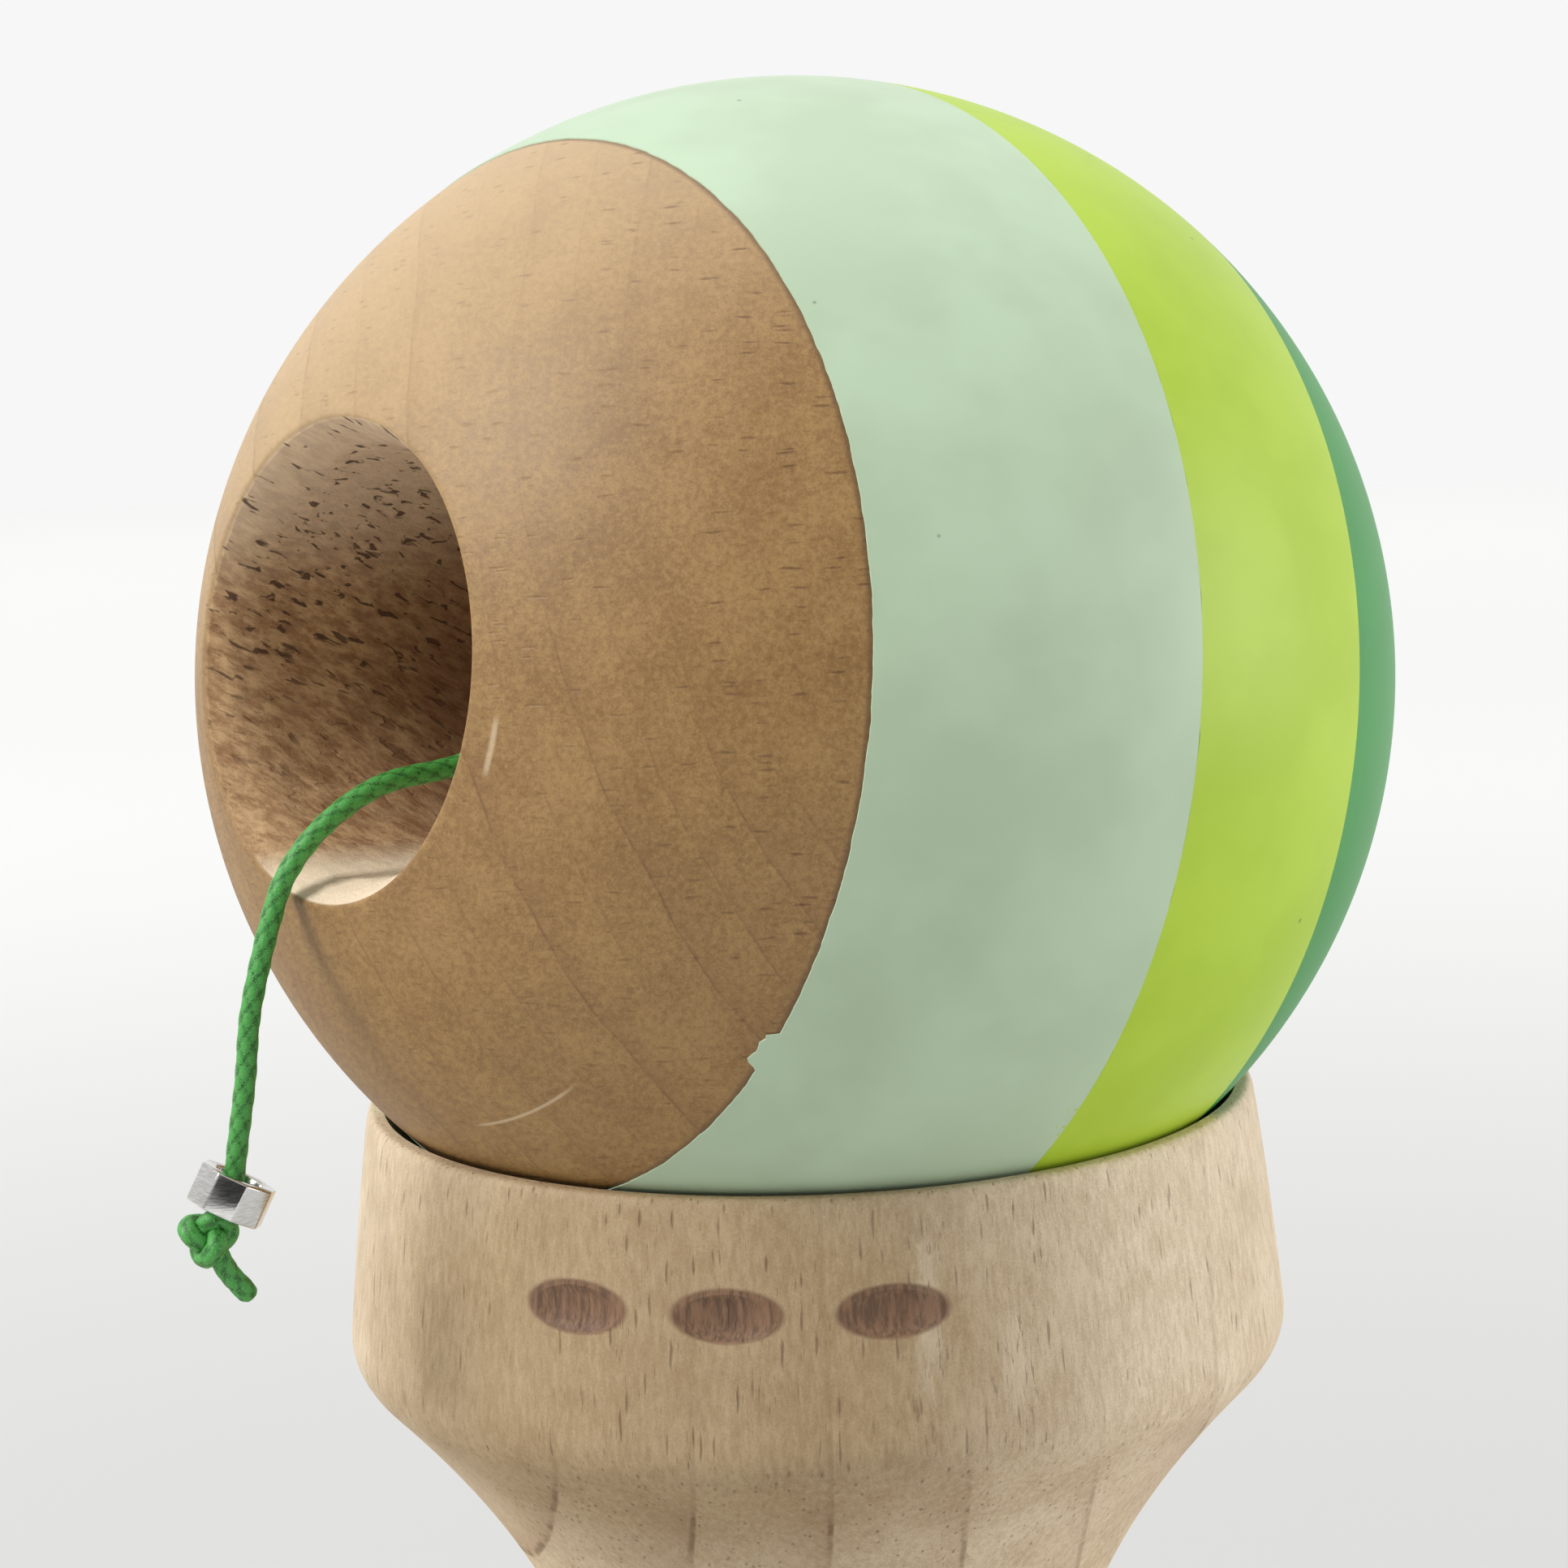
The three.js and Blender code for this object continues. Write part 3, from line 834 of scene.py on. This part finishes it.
# %% Grain group
def make_grain_group():
    group, enter, leave = new_group(
        "wood_grain",
        [("Position", VECTOR), ("Ring width", FLOAT), ("Waviness", FLOAT),
         ("Fleck stretch", VECTOR), ("Fleck share", FLOAT)],
        [("Rings", FLOAT), ("Ring edge", FLOAT), ("Flecks", FLOAT), ("Mottle", FLOAT), ("Height", FLOAT)],
    )
    position = enter["Position"]
    apart = axes_of(position)
    flat = add(group, "ShaderNodeCombineXYZ", {"X": apart[0], "Y": apart[1]}).outputs[0]
    from_heart = vector_of("LENGTH", flat)
    slow = math_of("SUBTRACT", noise_of(stretched(position, 1, 1, 0.3), 0.05, 1.0), 0.5)
    quick = math_of("SUBTRACT", noise_of(stretched(position, 1, 1, 0.2), 0.35, 2.0), 0.5)
    shift = times_add(slow, 12.0, times(quick, 1.2))
    across = times_add(shift, enter["Waviness"], from_heart)
    turns = math_of("DIVIDE", across, enter["Ring width"])
    share = math_of("FRACT", turns)
    year = add(group, "ShaderNodeTexWhiteNoise", {"W": math_of("FLOOR", turns)}, noise_dimensions="1D")
    strength = times_add(year.outputs["Value"], 0.7, 0.3)
    fade = times(math_of("POWER", share, 3.0), strength)
    rings = times(fade, inverse(band(share, 0.97, 1.0)))
    group.links.new(rings, leave["Rings"])
    line = times(band(share, 0.93, 0.965), inverse(band(share, 0.98, 1.0)))
    gaps = band(noise_of(position, 0.5, 3.0, 0.7), 0.36, 0.6)
    group.links.new(times(line, times(strength, gaps)), leave["Ring edge"])

    scaled = vector_of("MULTIPLY", position, enter["Fleck stretch"])
    swirl = add(group, "ShaderNodeTexNoise", {"Vector": position, "Scale": 0.5, "Detail": 1.0})
    bent = vector_of("ADD", scaled, stretched(swirl.outputs["Color"], 0.9, 0.9, 0.9))
    cells = add(group, "ShaderNodeTexVoronoi", {"Vector": bent, "Scale": 1.0, "Randomness": 1.0})
    chosen = axes_of(cells.outputs["Color"])[0]
    kept = math_of("LESS_THAN", chosen, enter["Fleck share"])
    depth = math_of("MULTIPLY_ADD", chosen, -1.0 / 0.6, 1.0, clamp=True)
    core = inverse(band(cells.outputs["Distance"], 0.1, 0.34))
    flecks = times(times(core, kept), times_add(depth, 0.6, 0.4))
    group.links.new(flecks, leave["Flecks"])

    cloudy = noise_of(position, 0.25, 3.0, 0.6)
    fibres = noise_of(stretched(position, 3.0, 3.0, 0.7), 1.1, 4.0, 0.65)
    dust = noise_of(position, 9.0, 3.0, 0.7)
    small = times_add(fibres, 0.42, times(dust, 0.32))
    group.links.new(times_add(cloudy, 0.26, small), leave["Mottle"])
    raised = times(math_of("ADD", fibres, dust), 0.25)
    group.links.new(math_of("SUBTRACT", raised, flecks), leave["Height"])
    return group


GRAIN = make_grain_group()


def sawn_position(tree, heart, across, fibre):
    """Object position in mm in the wood's axes: heart is a point on the tree's heart, in metres."""
    across = (across - fibre * across.dot(fibre)).normalized()
    rows = Matrix((across, fibre.cross(across), fibre))
    shift = -(rows @ heart) / MM
    coordinates = coordinates_of(tree)
    mapping = add(tree, "ShaderNodeMapping", {"Vector": coordinates})
    mapping.inputs["Rotation"].default_value = rows.to_euler("XYZ")
    mapping.inputs["Scale"].default_value = (1 / MM, 1 / MM, 1 / MM)
    mapping.inputs["Location"].default_value = shift
    return mapping.outputs[0]


def new_material(name):
    material = bpy.data.materials.new(name)
    material.use_nodes = True
    tree = material.node_tree
    shader = next(n for n in tree.nodes if n.type == "BSDF_PRINCIPLED")
    return material, tree, shader


def fill(tree, shader, tone, roughness, height, strength, distance):
    """Link a shader's colour and roughness, and bump it by a height."""
    made = add(tree, "ShaderNodeBump", {"Height": height, "Strength": strength, "Distance": distance})
    tree.links.new(tone, shader.inputs["Base Color"])
    tree.links.new(roughness, shader.inputs["Roughness"])
    tree.links.new(made.outputs[0], shader.inputs["Normal"])


# %% [markdown]
# ## The ball's wood
#
# The ball is cut so that the big hole's side shows the rings as wide arcs with dark flecks crossing
# them. Inside the bore the fibres are torn, so that wall is browner, rougher and full of dark pits. The
# wall also gets painted shade deep inside, and a painted pool of light low at the mouth, where light
# falls in. The bore is found from its distance to the bore's axis, in the material itself.

# %% Ball wood material
VIEW_RIGHT = Vector((math.cos(math.radians(CAMERA_TURN)), math.sin(math.radians(CAMERA_TURN)), 0))
UP = Vector((0, 0, 1))
TOWARDS_FRONT = Vector((VIEW_RIGHT.y, -VIEW_RIGHT.x, 0.16)).normalized()


def bore_mask(tree):
    """1 on the bore's wall and 0 on the ball's outside, and the position from the ball's centre."""
    local = vector_of("SUBTRACT", coordinates_of(tree), tuple(BALL))
    reach = vector_of("LENGTH", local)
    return band(reach, (WOOD_R - 0.08) * MM, (WOOD_R - 0.3) * MM), local


def near_point(coordinates, place, size):
    """1 at a point, falling to 0 at an ellipsoid of that size in mm."""
    local = vector_of("SUBTRACT", coordinates, tuple(place))
    scaled = stretched(local, *(1 / (side * MM) for side in size))
    return math_of("SUBTRACT", 1.0, vector_of("LENGTH", scaled), clamp=True)


def on_ball(turn, up):
    """A point on the ball's wood, by its angle round the bore and its height along the bore's axis."""
    ring = math.sqrt(WOOD_R ** 2 - up ** 2)
    place = Vector((ring * math.cos(math.radians(turn)), ring * math.sin(math.radians(turn)), up))
    return BALL + TO_BORE.to_3x3() @ place * MM


SCRATCHES = ((-111, 20.4, 4.6), (-55, 27.0, 1.6))   # angle round the bore, height and half length in mm


def scratched(tree, tone, along):
    """Thin pale scratches round the bore's axis, where the ball hit the spike."""
    coordinates = coordinates_of(tree)
    for turn, up, reach in SCRATCHES:
        spot = near_point(coordinates, on_ball(turn, up), (reach, reach, reach))
        off = math_of("ABSOLUTE", math_of("SUBTRACT", along, up * MM))
        thin = inverse(band(off, 0.02 * MM, 0.1 * MM))
        scratch = times(thin, band(spot, 0.0, 0.4))
        tone = tint(tone, scratch, 0.5, (222, 200, 166))
    return tone


def bore_wall(tree, position, upward, local, along):
    """Torn brown wood with dark pits, painted shade deep inside and a painted pool of light low at the mouth.
    """
    slant = sawn_position(tree, BALL, VIEW_RIGHT * 0.5 + UP * 0.85, VIEW_RIGHT * 0.85 - UP * 0.5)
    torn = noise_of(stretched(slant, 2.6, 1.6, 0.8), 0.8, 5.0, 0.7)
    wall = ramp(torn, 0.34, 0.66, (150, 111, 74), (204, 168, 124))
    broad = noise_of(stretched(position, 1.0, 0.08, 0.08), 0.5, 1.0)
    wall = tint(wall, band(broad, 0.4, 0.6), 0.25, (150, 112, 80))
    upper_edge = band(upward, 4.0, 10.0)
    wall = tint(wall, upper_edge, 0.5, (236, 214, 186))

    dashes = noise_of(stretched(slant, 3.6, 2.0, 0.85), 0.75, 2.0, 0.5, 0.5)
    more_pits = times_add(band(upward, -8.0, 5.0), 0.7, 0.15)
    pits = times(band(dashes, 0.6, 0.68), more_pits)
    wall = mixed(pits, wall, picked(66, 42, 28))

    # Painted shade: the wall darkens towards the bottom of the bore, where little light reaches.
    deep = band(along, 24 * MM, 8 * MM)
    wall = tint(wall, deep, 0.68, (88, 46, 12))
    # Painted light: a pale pool on the lower wall near the mouth, where light from above falls in.
    below_axis = times_add(along, -BORE_AXIS.z, axes_of(local)[2])
    across = vector_of("DOT_PRODUCT", local, tuple(BORE_SIDE))
    under = band(times_add(across, -0.44, below_axis), -6.8 * MM, -9.4 * MM)
    painted_light_pool = times(under, band(along, 12 * MM, 18 * MM))
    wall = tint(wall, painted_light_pool, 0.85, (240, 222, 194))
    wall_height = math_of("SUBTRACT", times(torn, 2.2), times(pits, 2.0))
    return wall, wall_height


def ball_wood_material():
    material, tree, shader = new_material("ball_beech")
    heart = BALL + (VIEW_RIGHT * 34 + UP * 14) * MM
    position = sawn_position(tree, heart, VIEW_RIGHT, TOWARDS_FRONT)
    grain = place_group(tree, GRAIN, {
        "Position": position, "Ring width": 2.6, "Waviness": 0.3,
        "Fleck stretch": (0.6, 3.6, 0.9), "Fleck share": 0.34})
    rightward, upward = axes_of(sawn_position(tree, BALL, VIEW_RIGHT, TOWARDS_FRONT))[:2]
    tone = ramp(grain["Mottle"], 0.36, 0.64, (132, 97, 53), (168, 133, 81))
    # Painted sheen: the outside is made paler towards the upper left, where the light falls on it.
    painted_sheen_side = times_add(rightward, -0.55, times(upward, 0.85))
    pale = times(band(painted_sheen_side, 10.0, 32.0), 0.62)
    tone = mixed(pale, tone, picked(214, 188, 150))
    lower_left = band(math_of("ADD", rightward, upward), 4.0, -18.0)
    rings = times(grain["Rings"], times_add(lower_left, 0.3, 0.1))
    tone = mixed(rings, tone, picked(128, 92, 56))
    lines = times(grain["Ring edge"], times_add(lower_left, 0.42, 0.08))
    tone = mixed(lines, tone, picked(104, 70, 40))
    right_side = times_add(band(rightward, -14.0, 4.0), 0.5, 0.22)
    tone = mixed(times(grain["Flecks"], right_side), tone, picked(88, 54, 28))

    inside, local = bore_mask(tree)
    along = vector_of("DOT_PRODUCT", local, tuple(BORE_AXIS))
    tone = scratched(tree, tone, along)
    # Painted shadow: a thin dark line on the wood along the mint paint's upper edge, where the coat's step
    # casts shade.
    painted_edge_shadow = band(along, (MINT_TOP + 0.3) * MM, (MINT_TOP + 0.05) * MM)
    tone = tint(tone, painted_edge_shadow, 0.6, (92, 66, 40))
    wall, wall_height = bore_wall(tree, position, upward, local, along)
    tone = mixed(inside, tone, wall)
    roughness = times_add(inside, 0.3, times_add(grain["Mottle"], 0.2, 0.45))
    outside_height = times(times(grain["Height"], 0.35), inverse(inside))
    height = math_of("ADD", outside_height, times(wall_height, inside))
    fill(tree, shader, tone, roughness, height, 0.55, 0.12 * MM)
    return material


# %% [markdown]
# ## Pale wood for the crosspiece and stick
#
# These are bare, paler beech. The crosspiece's fibres stand upright, with rings as broad upright bands
# and long dark pores. The ovals were burnt in, so they are brown. Two patches of torn grain are lighter
# and rougher than the rest. The front of the big cup's band is darkened by painted shade.


# %% Pale wood material
def on_band(angle, height):
    """A point on the big cup's band, by its angle from the front and its height above the waist."""
    out = Vector((math.sin(math.radians(angle)), -math.cos(math.radians(angle)), 0))
    return Vector((CROSS_X, 0, CROSS_HALF)) + (out * 23.6 + Vector((0, 0, height))) * MM


def pale_wood_material(name, heart, across, fibre, ring_width, waviness, ring_zone=None):
    """The start of both materials. ring_zone fades the rings in between two heights."""
    material, tree, shader = new_material(name)
    position = sawn_position(tree, heart, across, fibre)
    grain = place_group(tree, GRAIN, {
        "Position": position, "Ring width": ring_width, "Waviness": waviness,
        "Fleck stretch": (3.2, 3.2, 0.26), "Fleck share": 0.26})
    pores = place_group(tree, GRAIN, {
        "Position": stretched(position, 1.3, 1.3, 0.8), "Ring width": ring_width, "Waviness": waviness,
        "Fleck stretch": (6.0, 6.0, 1.1), "Fleck share": 0.2})
    tone = ramp(grain["Mottle"], 0.36, 0.64, (196, 173, 140), (228, 210, 182))
    clear = 0.7
    if ring_zone:
        height_now = axes_of(coordinates_of(tree))[2]
        clear = times_add(band(height_now, *ring_zone), 0.8, 0.2)
    rings = times(times(grain["Rings"], 0.5), clear)
    lines = times(times(grain["Ring edge"], 0.8), clear)
    tone = mixed(rings, tone, picked(150, 114, 80))
    tone = mixed(lines, tone, picked(100, 68, 42))
    tone = tint(tone, grain["Flecks"], 0.5, (112, 80, 52))
    tone = tint(tone, pores["Flecks"], 0.22, (120, 88, 60))
    height = times_add(pores["Flecks"], -0.4, grain["Height"])
    return material, tree, shader, tone, height, grain


# The first two names place and size the painted shade on the big cup's front.
FRONT_SHADE_PLACE, FRONT_SHADE_SIZE = (-12, HALF - 8), (27, 24, 17)
TORN_PATCHES = ((21.5, HALF - 5.5, (1.5, 4, 9.0)), (32, HALF - 8.5, (1.4, 4, 5.5)))
BURN_SIZE = (3.7, 3.7, 1.75)


def crosspiece_material():
    heart = Vector((CROSS_X, 0, 0)) - VIEW_RIGHT * 70.9 * MM + TOWARDS_FRONT * 24 * MM
    material, tree, shader, tone, height, grain = pale_wood_material(
        "crosspiece_beech", heart, VIEW_RIGHT, UP, 6.5, 0.08,
        ((HALF + NECK + 21.5) * MM, (HALF + NECK + 18.5) * MM))
    coordinates = coordinates_of(tree)
    fine = noise_of(stretched(coordinates, 2 / MM, 2 / MM, 0.24 / MM), 2.0, 4.0, 0.7)
    # Painted shade: the front of the big cup, lit less than its sides, is multiplied darker and browner.
    painted_front_shade = near_point(coordinates, on_band(*FRONT_SHADE_PLACE), FRONT_SHADE_SIZE)
    tone = mixed(band(painted_front_shade, 0.0, 0.6), tone, picked(206, 195, 176), "MULTIPLY")
    for angle, up, size in TORN_PATCHES:
        patch = near_point(coordinates, on_band(angle, up), size)
        torn = band(math_of("ADD", times(patch, 0.75), fine), 0.82, 1.1)
        tone = tint(tone, torn, 0.3, (236, 220, 194))
        crack = times(band(patch, 0.05, 0.4), band(fine, 0.58, 0.64))
        tone = tint(tone, crack, 0.6, (120, 90, 62))
        height = math_of("SUBTRACT", height, times(torn, fine))
    for middle, out in oval_places():
        centre = Vector((CROSS_X, 0, CROSS_HALF)) + middle * MM
        burnt = near_point(coordinates, centre, BURN_SIZE)
        char = band(times_add(fine, 0.1, burnt), 0.24, 0.36)
        brown = ramp(fine, 0.35, 0.65, (86, 58, 40), (134, 98, 72))
        tone = mixed(times(char, 0.9), tone, brown)
    fill(tree, shader, tone, times_add(grain["Mottle"], 0.25, 0.5), height, 0.5, 0.12 * MM)
    return material


def stick_material():
    heart = Vector((0, -0.045, CROSS_HALF - 0.03))
    material, tree, shader, tone, height, grain = pale_wood_material(
        "stick_beech", heart, Vector((0, 1, 0)), Vector((1, 0.02, 0.01)).normalized(), 4.4, 0.4)
    fill(tree, shader, tone, times_add(grain["Mottle"], 0.25, 0.48), height, 0.5, 0.12 * MM)
    return material


# %% [markdown]
# ## Satin paint
#
# The three colours are the same sprayed satin lacquer. A shared group gives the faint cloudiness of a
# thin coat, small dark specks of dust, and a fine orange-peel height. Each colour then has its own
# shader, so that one can be changed without the others.


# %% Paint group and materials
def make_paint_group():
    group, enter, leave = new_group(
        "sprayed_coat", [("Position", VECTOR)], [("Cloud", FLOAT), ("Specks", FLOAT), ("Height", FLOAT)])
    position = enter["Position"]
    cloud = noise_of(position, 0.12, 3.0, 0.55)
    group.links.new(cloud, leave["Cloud"])
    cells = add(group, "ShaderNodeTexVoronoi", {"Vector": position, "Scale": 0.42})
    chosen = axes_of(cells.outputs["Color"])[1]
    dot = inverse(band(cells.outputs["Distance"], 0.03, 0.07))
    few = math_of("LESS_THAN", chosen, 0.16)
    group.links.new(times(dot, few), leave["Specks"])
    peel = noise_of(position, 1.6, 2.0, 0.5)
    fine = noise_of(position, 14.0, 2.0, 0.6)
    group.links.new(times_add(fine, 0.3, peel), leave["Height"])
    return group


COAT = make_paint_group()


def paint_material(name, thin, full):
    """thin is the colour where the coat is thinnest, full where it covers fully."""
    material, tree, shader = new_material(name)
    coordinates = coordinates_of(tree)
    coat = place_group(tree, COAT, {"Position": stretched(coordinates, 1 / MM, 1 / MM, 1 / MM)})
    tone = mixed(band(coat["Cloud"], 0.35, 0.65), full, thin)
    tone = tint(tone, coat["Specks"], 0.6, (70, 78, 60))
    fill(tree, shader, tone, times_add(coat["Cloud"], 0.12, 0.36), coat["Height"], 0.12, 0.05 * MM)
    shader.inputs["Specular IOR Level"].default_value = 0.35
    return material


# %% [markdown]
# ## Waxed string and polished steel
#
# The string's gaps get painted shade from the height saved in the braid, and its paler flecks of loose
# fibre double as painted glints of the wax. The bead is plain polished steel with fine drawn lines.


# %% String and bead materials
def string_material():
    material, tree, shader = new_material("waxed_string")
    strand = add(tree, "ShaderNodeAttribute", attribute_name="strand").outputs["Fac"]
    along = coordinates_of(tree, "UV")
    fuzz_and_glints = noise_of(stretched(along, 40, 14, 1), 1.0, 3.0, 0.7)
    # Painted shade: the gaps between strands are darker, by the braid's saved height.
    tone = ramp(strand, 0.15, 0.75, (24, 92, 20), (70, 158, 66))
    # Paler flecks of loose fibre, which also stand in as painted glints of the wax.
    tone = mixed(band(fuzz_and_glints, 0.5, 0.72), tone, picked(126, 200, 120))
    height = times_add(strand, 0.5, fuzz_and_glints)
    fill(tree, shader, tone, times_add(fuzz_and_glints, 0.3, 0.3), height, 0.5, 0.05 * MM)
    return material


def steel_material():
    material, tree, shader = new_material("bead_steel")
    coordinates = coordinates_of(tree)
    drawn = noise_of(stretched(coordinates, 2 / MM, 2 / MM, 14 / MM), 1.0, 3.0, 0.6)
    tone = ramp(drawn, 0.35, 0.7, (205, 204, 200), (232, 231, 228))
    fill(tree, shader, tone, times_add(drawn, 0.16, 0.08), drawn, 0.15, 0.02 * MM)
    shader.inputs["Metallic"].default_value = 1.0
    return material


# %% [markdown]
# ## Finishing and joining to the frame
#
# Each piece gets its material, rides on the body that carries it, and says which plain pieces of the
# frame it stands for. The slack string lies between the table and the ball and rides on no body.

# %% Finish each piece
STRING = string_material()
FINISHES = [
    (ball_wood, "tama", ball_wood_material(), "ball_beech", ["tama_wood"]),
    (mint_coat, "tama", paint_material("mint_lacquer", picked(186, 208, 178), picked(178, 199, 169)),
     "mint_paint", ["coat_mint"]),
    (lime_coat, "tama", paint_material("lime_lacquer", picked(176, 206, 58), picked(168, 198, 46)),
     "lime_paint", ["coat_lime"]),
    (green_coat, "tama", paint_material("green_lacquer", picked(54, 144, 64), picked(44, 136, 56)),
     "green_paint", ["coat_green"]),
    (crosspiece, "root", crosspiece_material(), "pale_beech", ["sarado"]),
    (stick, "root", stick_material(), "pale_beech", ["ken"]),
    (tail, "string", STRING, "waxed_string", ["string_tail"]),
    (end_knot, "string", STRING, "waxed_string", ["end_knot"]),
    (cut_end, "string", STRING, "waxed_string", ["string_end"]),
    (anchor, "root", STRING, "waxed_string", ["anchor_knot"]),
    (bead, "bead", steel_material(), "bead_metal", ["bead"]),
]
for piece, body, material, slot_name, nodes in FINISHES:
    piece.data.materials.clear()
    piece.data.materials.append(material)
    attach(piece, body)
    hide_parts(*nodes)

slack.data.materials.append(STRING)
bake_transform(slack)
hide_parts("string_run", "string_coil", "string_lead")

# %% [markdown]
# ## Floor and light
#
# A pale floor and a near-white sky wrap the toy in soft light, as a light tent does. The key lamp is at
# the upper left in front, a weaker lamp is above, and a small one at the right brightens that edge. The
# sky is dimmer in front, where the watcher stands, so polished metal has something dark to mirror. The
# floor glows a little far out, so that its edge melts into the sky.

# %% Floor and lamps
FLOOR_SIZE = 1.7


def floor_material():
    material, tree, shader = new_material("pale_floor")
    coordinates = coordinates_of(tree)
    away = vector_of("LENGTH", coordinates)
    tone = ramp(away, 0.12, 0.55, (196, 196, 195), (240, 240, 239))
    tree.links.new(tone, shader.inputs["Base Color"])
    shader.inputs["Roughness"].default_value = 0.9
    shader.inputs["Emission Color"].default_value = (1, 1, 1, 1)
    glow = times(band(away, 0.5, 0.84), 0.125)
    tree.links.new(glow, shader.inputs["Emission Strength"])
    return material


floor = new_piece("floor", bpy.ops.mesh.primitive_plane_add, size=FLOOR_SIZE)
floor.data.materials.append(floor_material())


def lamp(name, place, size, power):
    """A square soft lamp that faces the ball."""
    data = bpy.data.lights.new(name, "AREA")
    data.size = size
    data.energy = power
    made = bpy.data.objects.new(name, data)
    bpy.context.scene.collection.objects.link(made)
    made.location = place
    made.rotation_euler = (BALL - Vector(place)).to_track_quat("-Z", "Y").to_euler()
    return made


lamp("top_lamp", (0.0, 0.3, 0.95), 0.6, 1.5)
lamp("right_lamp", (0.85, 0.1, 0.2), 0.5, 3.2)
lamp("key_lamp", (-0.62, -0.4, 0.74), 0.35, 7.5)

world = bpy.data.worlds.new("light_tent")
bpy.context.scene.world = world
world.use_nodes = True
tent = world.node_tree
direction = coordinates_of(tent, "Generated")
backwards = add(tent, "ShaderNodeMapRange", {
    "Value": axes_of(direction)[1],
    "From Min": -1.0, "From Max": 0.6, "To Min": 0.34, "To Max": 0.93})
facing = vector_of("DOT_PRODUCT", direction, tuple((camera.location - BALL).normalized()))
watcher = times_add(band(facing, 0.89, 0.96), -0.88, 1.0)
tent.links.new(times(backwards.outputs[0], watcher), tent.nodes["Background"].inputs["Strength"])
tent.nodes["Background"].inputs["Color"].default_value = (1, 1, 1, 1)
bpy.context.scene.view_settings.view_transform = "Standard"
